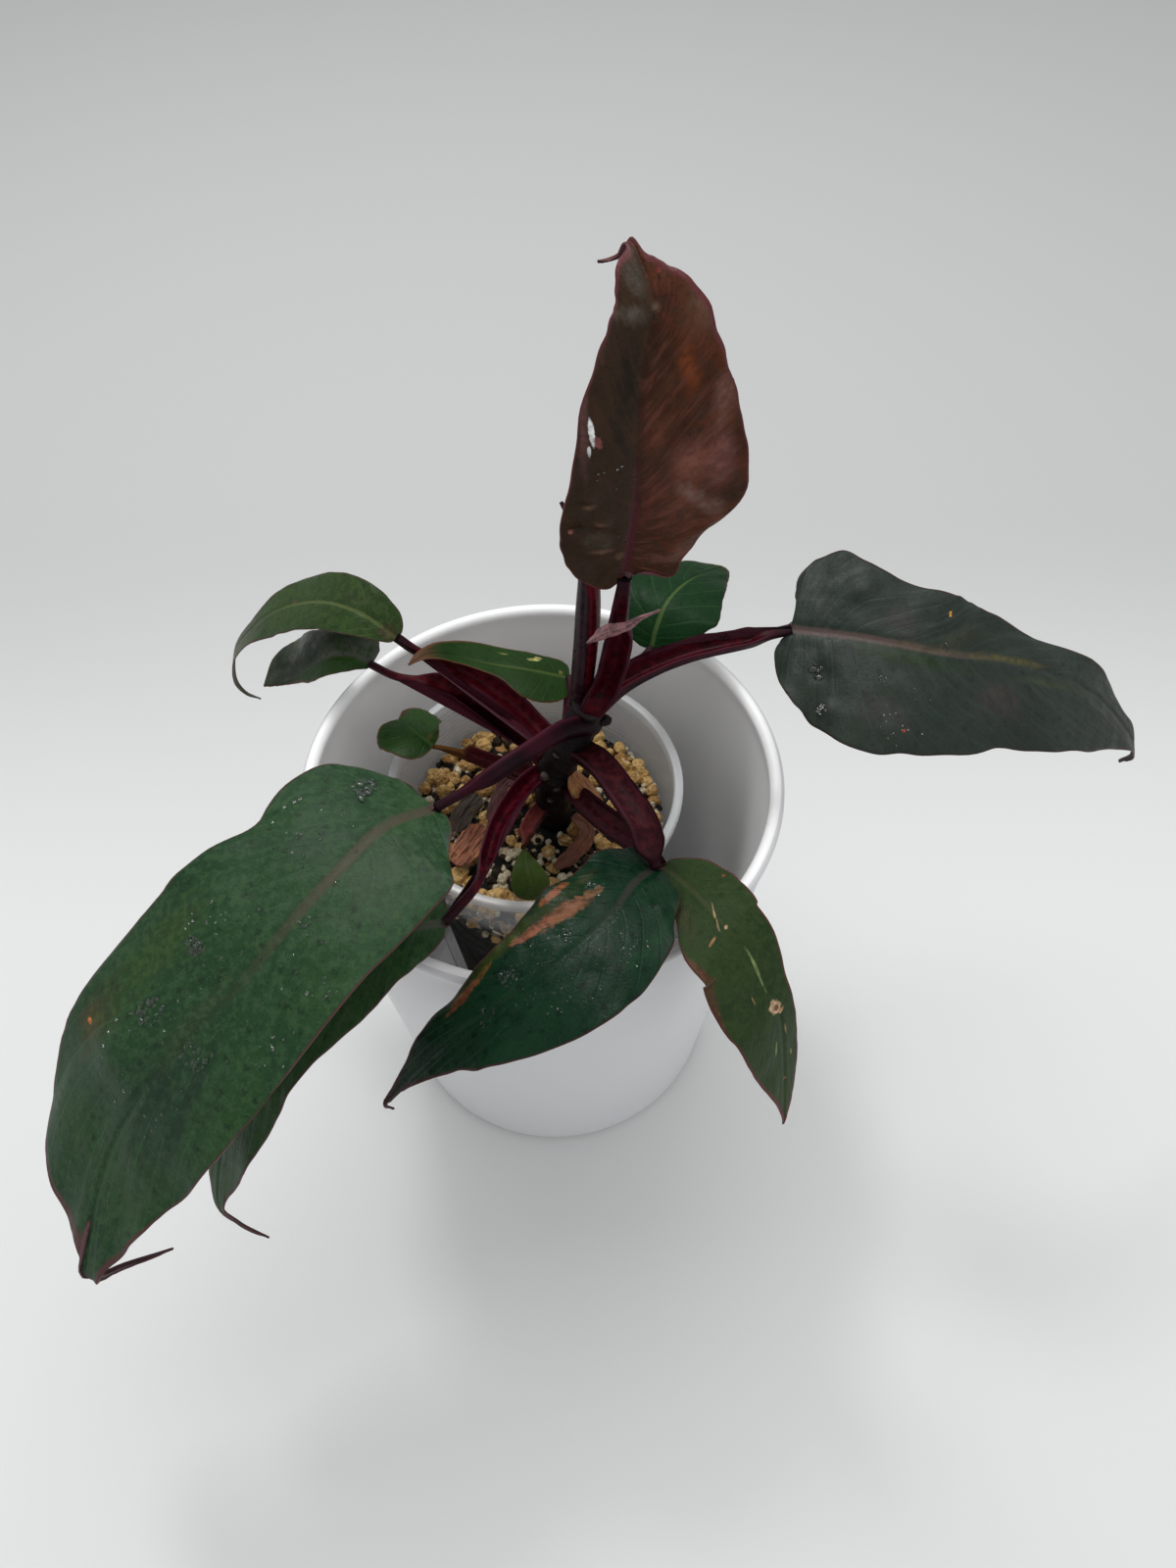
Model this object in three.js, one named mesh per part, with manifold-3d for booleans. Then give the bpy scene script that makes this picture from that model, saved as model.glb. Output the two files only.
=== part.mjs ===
// A variegated philodendron in a clear nursery cup, standing in a white cover pot.
// Millimetres, +Z up. The origin is the centre of the cover pot's underside.
// The plant is seen from -Y in its usual view, with +X to the right.
// A blade's left and right are those of a walker going from its stalk to its tip, upper face up.

import * as THREE from 'three';
import { mergeVertices } from 'three/addons/utils/BufferGeometryUtils.js';
import Module from 'manifold-3d';

const wasm = await Module();
wasm.setup();

// Driving dimensions
const coverPot = {
  rim: 75, foot: 59, height: 154, wall: 2.8, floor: 4, footRound: 3,
  lip: 4.6, lipInset: 1.6, lipDepth: 9, cornerInset: 5, cornerRise: 6,
};
const cup = {
  x: -3, y: 7, rim: 48, foot: 33, top: 140, wall: 1.4, floor: 2,
  lip: 3, lipHeight: 3, lipRound: 0.7, footRound: 1,
};
const cupRibs = { count: 4, first: 22, step: 9, height: 0.7, spread: 2 };
const mixLevel = 120;
const mixDome = 1.5;
const bladeThickness = 0.8;
const clearance = 0.3;
const smallestStep = 0.05;
const stem = {
  path: [[2, 6, 100], [3, 4, 135], [5, 1, 155], [10, -2, 172], [15, -3, 188]],
  half: 5.4, nodes: 5, swell: 0.5,
};
const grains = { count: 62, smallest: 2.2, largest: 3.8, stemClear: 9, sink: 0.25 };
const rootNubs = [
  { place: [5.5, -4.6, 168], size: 1.5 },
  { place: [1, -3.4, 156], size: 1.6 },
  { place: [4.4, -3.6, 150], size: 1.3 },
  { place: [19.4, -2.6, 181], size: 1.9 },
];

const cupBase = coverPot.floor + clearance;

// Leaves: spine from the stalk to the tip, and half widths as [place along the spine, millimetres]
const blades = {
  upright: {
    spine: [
      [24, -13, 247], [26, -15, 270], [26, -14, 289], [27, -11, 302], [29, -8, 313], [26.8, -2, 318.8],
      [24.6, 4, 320.5], [22.6, 6.5, 316.4], [20.4, 6.8, 315.4], [18.2, 6.8, 315.2],
    ],
    face: [0, -1, 0.35],
    left: [
      [0, 0], [-0.05, 3], [-0.05, 6.5], [0.01, 13], [0.083, 16], [0.2, 16.5], [0.36, 14], [0.55, 11.7],
      [0.685, 10.2], [0.74, 9], [0.79, 7], [0.84, 4.4], [0.87, 1.6], [0.93, 0.8], [1, 0],
    ],
    right: [
      [0, 0], [0.03, 5], [0.03, 11], [0.09, 13.4], [0.175, 16.8], [0.28, 23.4], [0.405, 24], [0.54, 21],
      [0.63, 17.8], [0.68, 15], [0.72, 11.8], [0.76, 8], [0.79, 5], [0.82, 3], [0.85, 1.2], [0.93, 0.9],
      [1, 0],
    ],
    fold: [8, 14], curl: [20, 30], width: 24, rows: 16,
  },
  right: {
    spine: [
      [73, 14, 200], [88, 7, 204], [102, 2, 205], [116, 0, 203], [133, 2, 198],
      [161, 5, 182], [180, 5, 162], [185, 4, 152], [183, 5, 147],
    ],
    roll: [28, 12],
    left: [
      [0, 0], [0, 7], [-0.005, 16], [0.02, 23], [0.08, 25], [0.17, 20.7], [0.28, 17.9], [0.35, 17.3],
      [0.385, 16.8], [0.41, 13.2], [0.5, 10.2], [0.62, 9.7], [0.75, 9.6], [0.86, 7], [0.93, 3.4],
      [1, 0],
    ],
    right: [
      [0, 0], [-0.02, 7], [-0.005, 14.5], [0.04, 21], [0.09, 27], [0.19, 31.5], [0.28, 30],
      [0.39, 26.5], [0.54, 24.6], [0.7, 19.4], [0.84, 10], [0.94, 3], [1, 0],
    ],
    fold: [6, 6], curl: [20, 30], width: 30, rows: 16,
  },
  front_left: {
    spine: [
      [-27, -36, 185], [-39, -46, 191], [-50, -61, 192], [-62, -75, 188], [-74, -87, 180],
      [-98, -102, 160], [-115, -114, 135], [-124, -133, 112], [-122.5, -134.5, 106.5],
      [-116, -131, 104], [-103.5, -127.5, 104.5],
    ],
    left: [
      [0, 0], [0, 6], [0.03, 15], [0.06, 23], [0.11, 26], [0.23, 25], [0.35, 24], [0.47, 26.6],
      [0.59, 26.5], [0.7, 22.4], [0.79, 15.4], [0.855, 7.2], [0.9, 4.6], [0.95, 2], [1, 0],
    ],
    right: [
      [0, 0], [0.01, 7], [0.02, 15], [0.06, 24.5], [0.1, 30], [0.2, 29], [0.31, 35.5], [0.43, 36.5],
      [0.55, 35], [0.67, 32.6], [0.73, 28], [0.785, 18.5], [0.82, 9.5], [0.845, 4], [0.87, 1.2],
      [0.91, 2.4], [0.95, 1.6], [1, 0],
    ],
    fold: [4, 4], curl: [15, 25], width: 36, rows: 18,
  },
  low_left: {
    spine: [
      [-26, -57, 160], [-38, -60, 161], [-51, -66, 158], [-63, -74, 151], [-78, -85, 138],
      [-90, -97, 117], [-97, -110, 93], [-92, -115, 88], [-82, -120, 88],
    ],
    left: [
      [0, 0], [0.01, 5], [0.05, 10], [0.12, 14], [0.21, 16.8], [0.36, 16], [0.49, 16], [0.62, 15],
      [0.74, 11], [0.83, 4.8], [0.9, 2.4], [1, 0],
    ],
    right: [
      [0, 0], [-0.01, 5], [0, 11], [0.06, 16], [0.16, 19], [0.31, 21], [0.44, 19], [0.58, 15],
      [0.71, 10], [0.82, 5], [0.9, 2.6], [1, 0],
    ],
    fold: [4, 4], curl: [15, 25], width: 24, rows: 15,
  },
  front: {
    spine: [
      [33, -43, 165], [26, -52, 170], [20, -62, 172], [10, -72, 171], [-4, -81, 165],
      [-26, -87, 146], [-44, -91, 121], [-46, -92, 117], [-44, -92, 114],
    ],
    left: [
      [0, 0], [0.02, 6], [0.07, 13], [0.15, 15.5], [0.19, 18.5], [0.28, 20.8], [0.37, 19.8],
      [0.5, 15.6], [0.62, 11], [0.73, 6.2], [0.86, 2], [0.94, 1], [1, 0],
    ],
    right: [
      [0, 0], [-0.01, 5.5], [0, 11], [0.06, 14], [0.12, 15.5], [0.23, 18], [0.33, 17.5],
      [0.47, 14], [0.61, 10.5], [0.74, 7], [0.86, 3], [0.94, 1], [1, 0],
    ],
    fold: [4, 4], curl: [20, 30], width: 28, rows: 15,
  },
  front_right: {
    spine: [
      [35, -39, 159], [42, -51, 165.5], [50, -64, 167], [56, -69, 164],
      [61, -76, 156], [66, -82, 144], [70, -95, 105],
    ],
    left: [
      [0, 0], [0, 4.5], [0.05, 9.2], [0.13, 12.3], [0.25, 13.2], [0.4, 9.6], [0.57, 6.2], [0.75, 5.8],
      [0.9, 3.6], [1, 0],
    ],
    right: [
      [0, 0], [0.04, 1.8], [0.12, 4.6], [0.21, 9.6], [0.3, 15], [0.41, 17.8], [0.53, 17], [0.68, 13.3],
      [0.8, 8.2], [0.9, 3.2], [1, 0],
    ],
    fold: [4, 4], curl: [20, 30], width: 22, rows: 13,
  },
  back_left: {
    spine: [
      [-43, 28, 185], [-49, 31, 189], [-55, 34, 191], [-65, 41, 188], [-76, 48, 181], [-88, 53, 172],
      [-97, 56, 162], [-106, 59, 149], [-109, 58, 137], [-107, 57, 130], [-102, 56, 127],
    ],
    roll: [-30, -30],
    left: [
      [0, 0], [0.01, 2.5], [0.06, 5.5], [0.14, 8], [0.25, 9], [0.37, 9.3], [0.47, 9.2], [0.56, 7.7],
      [0.66, 5.2], [0.76, 4.6], [0.85, 3.2], [0.93, 1.4], [1, 0],
    ],
    right: [
      [0, 0], [0, 3], [0.03, 6.5], [0.1, 9.1], [0.19, 10.2], [0.3, 9.9], [0.4, 9], [0.5, 6.8],
      [0.58, 4.5], [0.68, 3.2], [0.8, 2.9], [0.92, 1.2], [1, 0],
    ],
    fold: [4, 4], curl: [20, 30], width: 20, rows: 15,
  },
  low_back_left: {
    spine: [[-54, 33, 168], [-59, 34, 171], [-67, 36, 169], [-76, 39, 161], [-84, 42, 152], [-96, 48, 143]],
    roll: [-25, -25],
    left: [
      [0, 0], [0.02, 2], [0.12, 5], [0.28, 6.2], [0.45, 5.8], [0.58, 3.4], [0.7, 1.6], [0.84, 1],
      [0.93, 0.8], [1, 0],
    ],
    right: [
      [0, 0], [-0.01, 4], [0, 6.5], [0.08, 10], [0.22, 11.5], [0.4, 12.4], [0.54, 14.4], [0.68, 16.4],
      [0.8, 15.4], [0.91, 11], [1, 0],
    ],
    fold: [4, 4], curl: [20, 30], width: 20, rows: 9,
  },
  round: {
    spine: [[-35, 14, 150], [-39, 16.5, 152], [-43, 21, 152], [-47, 25, 150.8]],
    left: [
      [0, 0], [0, 2.6], [0.06, 5.8], [0.28, 9.8], [0.56, 12], [0.82, 11.6], [1.02, 8.4], [1.1, 5.2],
      [1.06, 2.4], [1, 0],
    ],
    right: [
      [0, 0], [0.02, 3], [0.1, 6], [0.33, 9.6], [0.64, 10.4], [0.92, 9.2], [1.1, 6.6], [1.15, 4],
      [1.08, 2], [1, 0],
    ],
    fan: 1, fold: [4, 4], curl: [20, 30], width: 12, rows: 8,
  },
  back: {
    spine: [[9, 26, 168], [-3, 25, 173], [-15, 26, 175], [-26, 27, 178], [-33, 23, 183], [-39, 19, 183]],
    left: [
      [0, 0], [-0.01, 4], [0.02, 7.5], [0.1, 10.8], [0.2, 12], [0.3, 10],
      [0.4, 5.5], [0.55, 3.5], [0.7, 3], [0.86, 1.8], [1, 0],
    ],
    right: [
      [0, 0], [0, 5], [0.05, 7], [0.15, 7.8], [0.33, 8.3], [0.55, 8], [0.72, 5.6], [0.86, 3],
      [0.95, 1.6], [1, 0],
    ],
    fold: [4, 4], curl: [20, 30], width: 16, rows: 9,
  },
  back_right: {
    spine: [[35, 35, 171], [37, 39, 178], [41, 46, 182], [49, 57, 180], [61, 71, 172]],
    left: [
      [0, 0], [0, 4], [0.05, 9], [0.15, 13.5], [0.32, 16.5], [0.48, 16],
      [0.62, 13], [0.76, 9], [0.88, 5], [0.96, 2], [1, 0],
    ],
    right: [
      [0, 0], [0, 4], [0.05, 8.4], [0.15, 13], [0.3, 17.2], [0.45, 16.2], [0.6, 12.8], [0.75, 9.2],
      [0.88, 6], [0.97, 3], [1, 0],
    ],
    fold: [4, 4], curl: [20, 30], width: 18, rows: 10,
  },
  small_front: {
    spine: [[-6, -20, 141], [-5, -26, 142], [-4, -30, 140], [-3, -32, 136], [-2, -32, 131]],
    left: [[0, 0], [0.08, 1], [0.22, 2.4], [0.4, 4.3], [0.58, 5.5], [0.76, 5.3], [0.9, 3.2], [1, 0]],
    right: [[0, 0], [0.08, 1.2], [0.22, 3], [0.4, 5], [0.58, 6.2], [0.76, 5.6], [0.9, 3.4], [1, 0]],
    fold: [4, 4], curl: [20, 30], width: 8, rows: 8,
  },
};

// Stalks: half widths at the stem, where the open sheath ends and at the blade
const stalks = {
  right: {
    path: [[14, -2, 183], [26, 5, 190.3], [43, 9, 196.3], [60, 11, 199.2], [73, 14, 199.8]],
    half: [3.8, 2.7, 1.6], sheath: 0.8,
  },
  front_left: {
    path: [[14, -2, 177], [15, -4, 181], [6, -12, 187], [-5, -24, 191], [-16, -32, 190], [-27, -36.5, 186]],
    half: [3.4, 2.7, 1.5], sheath: 0.72,
  },
  upright: {
    path: [[15, -3, 185], [20.6, -5, 202], [23, -8, 219], [23.6, -11, 234], [24, -12.6, 246]],
    face: [0, -1, 0.3], half: [3.9, 3.3, 1.8], sheath: 0.62,
  },
  front: {
    path: [
      [8, -1, 164], [11, -4, 169], [18, -13, 173], [24, -25, 175],
      [29, -34, 174], [31, -40, 171], [33, -44, 166],
    ],
    half: [3.6, 4.4, 1.7], sheath: 0.86,
  },
  low_left: {
    path: [
      [4, 3, 146], [-1, 0, 152], [-7.5, -11.5, 157], [-12.5, -26, 162],
      [-15, -39.5, 165], [-17.5, -48.5, 165], [-26, -57, 160.5],
    ],
    half: [3.1, 2.4, 1.4], sheath: 0.68,
  },
  front_right: {
    path: [[4, 3, 141], [9, -2, 147], [14, -13, 152], [22, -24, 156], [29, -32, 159], [35, -39, 159.5]],
    half: [2.6, 3.4, 1.5], sheath: 0.84,
  },
  back_left: {
    path: [
      [6, 0, 154], [3, 6, 160], [-7, 16, 165], [-17, 22, 170],
      [-28, 26, 175], [-37, 27, 180], [-43, 28, 185.5],
    ],
    half: [3.2, 3.4, 1.5], sheath: 0.66,
  },
  low_back_left: {
    path: [
      [4, 3, 147], [-3, 10, 153], [-10, 15, 158], [-21, 21, 164],
      [-33, 25, 168], [-45, 27, 169], [-54, 33, 168.5],
    ],
    half: [2.8, 2.9, 1.3], sheath: 0.66,
  },
  round: {
    path: [[3, 4, 136], [-5, 11, 139], [-16, 13, 142], [-27, 15, 146], [-35, 14, 150]],
    half: [2.2, 2.4, 0.8], sheath: 0.72,
  },
  back: {
    path: [[7, 0, 155], [9, 9, 163], [10, 18, 168], [9, 26, 168.5]],
    half: [2.4, 2, 1.2], sheath: 0.5,
  },
  back_right: {
    path: [[9, -1, 164], [17, 11, 168], [27, 24, 171], [35, 35, 171.5]],
    half: [2.4, 1.8, 1.1], sheath: 0.5,
  },
  small_front: {
    path: [[3, 4, 129], [-1, 0, 134], [-5, -11, 139], [-6, -20, 141.5]],
    half: [2.4, 2.6, 0.9], sheath: 0.75,
  },
};

// The rolled new leaf stands behind the upright one.
const newLeaf = {
  path: [[12, 1, 184], [13.6, -2, 205], [14.8, -2, 222], [15.2, -1, 238], [13.2, 0, 249], [9, 2, 257]],
  face: [0, -1, 0.3],
  half: [3.2, 3.4, 0.5],
};

// A shrivelled bract that hooks round the upright leaf's stalk
const bract = {
  path: [[18.5, -9, 226], [20, -14.5, 231], [24, -17, 234], [28, -14, 234], [33, -10, 232]],
  half: [2.4, 2.6, 0.7],
};

// Dried sheaths: they hang from the stem or lie on the mix.
const husks = {
  strap: {
    spine: [[-1, 6, 136], [-12, 14, 132], [-17, 6, 127.5], [-18.5, -4, 125]],
    half: 3.2, face: [-0.4, 0, 1],
  },
  olive: { spine: [[-22, 11, 127], [-27, 5, 126], [-30, -2, 125.5]], half: 3.6, face: [0.5, 0, 1] },
  crinkled: { spine: [[-20, -1, 126.5], [-25, -10, 127.5], [-29, -16, 127]], half: 4.6, face: [0.4, 0.3, 1] },
  papery: {
    spine: [[9, -3, 156], [13, -6, 150], [17, -9, 144], [20, -13, 138]],
    half: 4.4, face: [0.5, -0.4, 1],
  },
  front_strip: {
    spine: [[9, 0, 130], [14, -4, 127], [9, -12, 125.5], [3, -17, 125.5]],
    half: 2.8, face: [0, 0, 1],
  },
};
const huskOutline = [[0, 0], [0.02, 0.5], [0.2, 0.9], [0.5, 1], [0.8, 0.85], [0.97, 0.4], [1, 0]];

// Sizes along a path, and the frame that a blade or a stalk is drawn in

function lerp(from, to, share) {
  return from + (to - from) * share;
}

function clamp(value, low = 0, high = 1) {
  return Math.min(Math.max(value, low), high);
}

function curveThrough(points) {
  const vectors = points.map(([x, y, z = 0]) => new THREE.Vector3(x, y, z));
  return new THREE.CatmullRomCurve3(vectors, false, 'catmullrom', 0.5);
}

function makeRail({ path, face = [0, 0, 1], roll = [0, 0] }) {
  const steps = 60;
  const curve = curveThrough(path);
  curve.arcLengthDivisions = 240;
  const stations = [];
  let up = new THREE.Vector3(...face);
  for (let i = 0; i <= steps; i++) {
    const point = curve.getPointAt(i / steps);
    const along = curve.getTangentAt(i / steps);
    up = up.clone().addScaledVector(along, -up.dot(along)).normalize();
    const side = along.clone().cross(up);
    const turn = THREE.MathUtils.degToRad(lerp(roll[0], roll[1], i / steps));
    stations.push({
      point,
      along,
      up: up.clone().multiplyScalar(Math.cos(turn)).addScaledVector(side, Math.sin(turn)),
      side: side.clone().multiplyScalar(Math.cos(turn)).addScaledVector(up, -Math.sin(turn)),
    });
  }
  return { stations, steps, length: curve.getLength() };
}

function railAt(rail, place) {
  const spot = clamp(place) * rail.steps;
  const low = Math.min(Math.floor(spot), rail.steps - 1);
  const mix = (key) => rail.stations[low][key].clone().lerp(rail.stations[low + 1][key], spot - low);
  const along = mix('along').normalize();
  const beyond = (place - clamp(place)) * rail.length;
  const point = mix('point').addScaledVector(along, beyond);
  return { point, along, up: mix('up').normalize(), side: mix('side').normalize() };
}

// Solids

function solidFrom(positions, triangles) {
  const geometry = new THREE.BufferGeometry();
  geometry.setAttribute('position', new THREE.Float32BufferAttribute(positions, 3));
  geometry.setIndex(triangles);
  return solidOf(geometry);
}

function solidOf(geometry) {
  geometry.deleteAttribute('normal');
  geometry.deleteAttribute('uv');
  const merged = mergeVertices(geometry, 1e-4);
  return new wasm.Manifold(new wasm.Mesh({
    numProp: 3,
    vertProperties: new Float32Array(merged.attributes.position.array),
    triVerts: new Uint32Array(merged.index.array),
  }));
}

function largestBody(solid) {
  return solid.decompose().sort((a, b) => b.volume() - a.volume())[0];
}

// Drops the slivers that cutting and joining leave
function tidied(solid) {
  return solid.asOriginal().simplify(smallestStep);
}

function cutBy(solid, others) {
  const left = others.reduce((rest, other) => rest.subtract(other), solid);
  return largestBody(tidied(left));
}

// The room that a solid takes with its clearance: the solid, moved each way by it
function roomOf(solid) {
  const moves = [[1, 0, 0], [-1, 0, 0], [0, 1, 0], [0, -1, 0], [0, 0, 1], [0, 0, -1]];
  return moves.map((move) => solid.translate(move.map((part) => part * clearance)));
}

function arc(x, z, radius, from, to, steps) {
  const points = [];
  for (let i = 0; i <= steps; i++) {
    const angle = THREE.MathUtils.degToRad(lerp(from, to, i / steps));
    points.push([x + radius * Math.cos(angle), z + radius * Math.sin(angle)]);
  }
  return points;
}

function turned(profile, segments) {
  const points = profile.map(([radius, z]) => new THREE.Vector2(Math.max(radius, 0), z));
  const geometry = new THREE.LatheGeometry(points, segments);
  geometry.rotateX(Math.PI / 2);
  return solidOf(geometry);
}

// A blade is a fan of rows that leave the midrib and end on the outline.

function bladeSurface(blade) {
  const rail = makeRail({ path: blade.spine, face: blade.face, roll: blade.roll });
  const outline = { [-1]: curveThrough(blade.left), 1: curveThrough(blade.right) };
  const columns = 3;
  const arcSteps = 6;
  const rows = [];
  for (let i = 0; i <= blade.rows; i++) {
    const share = i / blade.rows;
    const root = share ** (blade.fan ?? 1.8);
    const row = [];
    for (let j = -columns; j <= columns; j++) {
      const side = Math.sign(j) || 1;
      const outward = Math.abs(j) / columns;
      const edge = outline[side].getPoint(share);
      const place = root + (edge.x - root) * outward ** 1.25;
      const reach = Math.max(edge.y, 0) * outward;
      const frame = railAt(rail, place);
      const fold = THREE.MathUtils.degToRad(lerp(...blade.fold, clamp(place)));
      const curl = THREE.MathUtils.degToRad(lerp(...blade.curl, clamp(place)));
      let across = 0;
      let rise = 0;
      for (let k = 0; k < arcSteps; k++) {
        const angle = fold - curl * ((k + 0.5) / arcSteps) * (reach / blade.width);
        across += (reach / arcSteps) * Math.cos(angle);
        rise += (reach / arcSteps) * Math.sin(angle);
      }
      const point = frame.point.clone().addScaledVector(frame.side, side * across);
      row.push({ point: point.addScaledVector(frame.up, rise), up: frame.up });
    }
    rows.push(row);
  }
  return rows;
}

function surfaceNormal(rows, i, j) {
  const last = rows.length - 1;
  const end = rows[i].length - 1;
  if (i === 0 || i === last) return rows[i][j].up;
  const ahead = rows[i + 1][j].point.clone().sub(rows[i - 1][j].point);
  const over = rows[i][Math.min(j + 1, end)].point.clone().sub(rows[i][Math.max(j - 1, 0)].point);
  const normal = over.cross(ahead);
  return normal.length() > 1e-6 ? normal.normalize() : rows[i][j].up;
}

function bladeSolid(blade, thickness) {
  const rows = bladeSurface(blade);
  const width = rows[0].length;
  const layer = rows.length * width;
  const positions = [];
  for (const lift of [thickness / 2, -thickness / 2]) {
    rows.forEach((row, i) => row.forEach((spot, j) => {
      positions.push(...spot.point.clone().addScaledVector(surfaceNormal(rows, i, j), lift).toArray());
    }));
  }
  const at = (i, j) => (i === 0 || i === rows.length - 1 ? i * width : i * width + j);
  const triangles = [];
  const face = (a, b, c) => {
    if (a !== b && b !== c && c !== a) triangles.push(a, b, c);
  };
  for (let i = 0; i + 1 < rows.length; i++) {
    for (let j = 0; j + 1 < width; j++) {
      const [a, b, c, d] = [at(i, j), at(i + 1, j), at(i + 1, j + 1), at(i, j + 1)];
      face(a, c, b);
      face(a, d, c);
      face(a + layer, b + layer, c + layer);
      face(a + layer, c + layer, d + layer);
    }
    for (const [j, flip] of [[0, false], [width - 1, true]]) {
      const [a, b] = flip ? [at(i + 1, j), at(i, j)] : [at(i, j), at(i + 1, j)];
      face(a, b, b + layer);
      face(a, b + layer, a + layer);
    }
  }
  return solidFrom(positions, triangles);
}

// A swept solid takes a section for each station along its path.

function sweep(rail, stations, sectionAt) {
  const positions = [];
  let sides = 0;
  for (let i = 0; i <= stations; i++) {
    const frame = railAt(rail, i / stations);
    const section = sectionAt(i / stations);
    sides = section.length;
    for (const [across, rise] of section) {
      const point = frame.point.clone().addScaledVector(frame.side, across);
      positions.push(...point.addScaledVector(frame.up, rise).toArray());
    }
  }
  const triangles = [];
  for (let i = 0; i < stations; i++) {
    for (let j = 0; j < sides; j++) {
      const next = (j + 1) % sides;
      const [a, b, c, d] = [i * sides + j, i * sides + next, (i + 1) * sides + next, (i + 1) * sides + j];
      triangles.push(a, c, b, a, d, c);
    }
  }
  for (const [share, start, flip] of [[0, 0, false], [1, stations * sides, true]]) {
    const contour = sectionAt(share).map(([x, y]) => new THREE.Vector2(x, y));
    for (const [a, b, c] of THREE.ShapeUtils.triangulateShape(contour, [])) {
      triangles.push(start + a, start + (flip ? c : b), start + (flip ? b : c));
    }
  }
  return solidFrom(positions, triangles);
}

// The section of a stalk, with its channel open by 0 to 1 on the upper side

function channelSection(half, open) {
  const rim = [305, 265, 220, 180, 140, 95, 55].map((degrees) => {
    const angle = THREE.MathUtils.degToRad(degrees);
    return [half * Math.sin(angle), half * Math.cos(angle)];
  });
  const floor = [[0.55, 0.8, 0.25], [0, 0.92, -0.45], [-0.55, 0.8, 0.25]];
  return [...rim, ...floor.map(([across, shut, deep]) => [half * across, half * lerp(shut, deep, open)])];
}

function stalkSolid(stalk, extra = 0) {
  const rail = makeRail(stalk);
  const stations = 8;
  const [base, wide, narrow] = stalk.half;
  return sweep(rail, stations, (share) => {
    const past = clamp((share - stalk.sheath) / 0.14);
    const half = lerp(lerp(base, wide, clamp(share / stalk.sheath)), narrow, past);
    return channelSection(half + extra, extra > 0 ? 0 : lerp(1, 0.15, past) * clamp(share * 5));
  });
}

function roundSection(half, sides = 10) {
  const points = [];
  for (let i = 0; i < sides; i++) {
    const angle = (2 * Math.PI * i) / sides;
    points.push([half * Math.cos(angle), half * Math.sin(angle)]);
  }
  return points;
}

// The stem swells at its nodes and bears a few short root nubs.

function stemSolid(extra = 0) {
  const rail = makeRail({ path: stem.path, face: [0, -1, 0] });
  const trunk = sweep(rail, 20, (share) => {
    const swell = stem.swell * Math.max(0, Math.cos(2 * Math.PI * stem.nodes * share)) ** 2;
    return roundSection((stem.half + swell) * lerp(1, 0.8, clamp((share - 0.85) / 0.15)) + extra);
  });
  const nubs = rootNubs.map(({ place, size }) => {
    const nub = new THREE.IcosahedronGeometry(size + extra, 0);
    nub.translate(...place);
    return solidOf(nub);
  });
  return tidied(nubs.reduce((whole, nub) => whole.add(nub), trunk));
}

function newLeafSolid(extra = 0) {
  const [base, wide, tip] = newLeaf.half;
  return sweep(makeRail(newLeaf), 9, (share) => {
    const half = share < 0.5 ? lerp(base, wide, share * 2) : lerp(wide, tip, (share * 2 - 1) ** 1.6);
    return channelSection(half + extra, extra > 0 ? 0 : 0.2 * (1 - share));
  });
}

function bractSolid() {
  const [start, wide, tip] = bract.half;
  return sweep(makeRail(bract), 8, (share) => {
    const half = share < 0.4 ? lerp(start, wide, share / 0.4) : lerp(wide, tip, (share - 0.4) / 0.6);
    return roundSection(half, 8).map(([across, rise]) => [across, rise * 0.6]);
  });
}

function huskSolid({ spine, half, face }) {
  const edge = huskOutline.map(([place, share]) => [place, share * half]);
  const outline = { left: edge, right: edge, fold: [16, 10], curl: [30, 30], width: half, rows: 8 };
  return bladeSolid({ spine, face, ...outline }, bladeThickness);
}

// Pots

function coverPotSolid() {
  const { rim, foot, height, wall, floor, footRound, lip, lipInset, lipDepth } = coverPot;
  const half = lip / 2;
  return turned([
    [0, 0],
    ...arc(foot - footRound, footRound, footRound, -90, 0, 2),
    [rim - lipInset, height - lipDepth],
    ...arc(rim - half, height - half, half, 0, 180, 4),
    [rim - lipInset - wall, height - lipDepth],
    [foot - wall, floor + coverPot.cornerRise],
    [foot - wall - coverPot.cornerInset, floor],
    [0, floor],
  ], 56);
}

function cupRadius(z) {
  return lerp(cup.foot, cup.rim - cup.lip + cup.wall, (z - cupBase) / (cup.top - cupBase));
}

function cupSolid() {
  const ribs = [];
  for (let i = 0; i < cupRibs.count; i++) {
    const z = cupRibs.first + i * cupRibs.step;
    const [under, over] = [z - cupRibs.spread, z + cupRibs.spread];
    ribs.push([cupRadius(under), under], [cupRadius(z) + cupRibs.height, z], [cupRadius(over), over]);
  }
  const { rim, foot, top, wall, lipRound, footRound } = cup;
  const underLip = top - cup.lipHeight;
  const lipInner = rim - cup.lip;
  const innerFloor = cupBase + cup.floor;
  return turned([
    [0, cupBase],
    [foot - footRound, cupBase],
    [foot, cupBase + footRound],
    ...ribs,
    [cupRadius(underLip), underLip],
    [rim, underLip + lipRound],
    [rim, top - lipRound],
    [rim - lipRound, top],
    [lipInner + lipRound, top],
    [lipInner, top - lipRound],
    [foot - wall, innerFloor + footRound],
    [foot - wall - footRound, innerFloor],
    [0, innerFloor],
  ], 40).translate([cup.x, cup.y, 0]);
}

// Seeded random numbers from 0 to 1

function seeded(seed) {
  let state = seed;
  return () => {
    state = (state * 1664525 + 1013904223) % 4294967296;
    return state / 4294967296;
  };
}

// Lumps of pumice lie in a sunflower pattern and sink into the mix.

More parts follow.
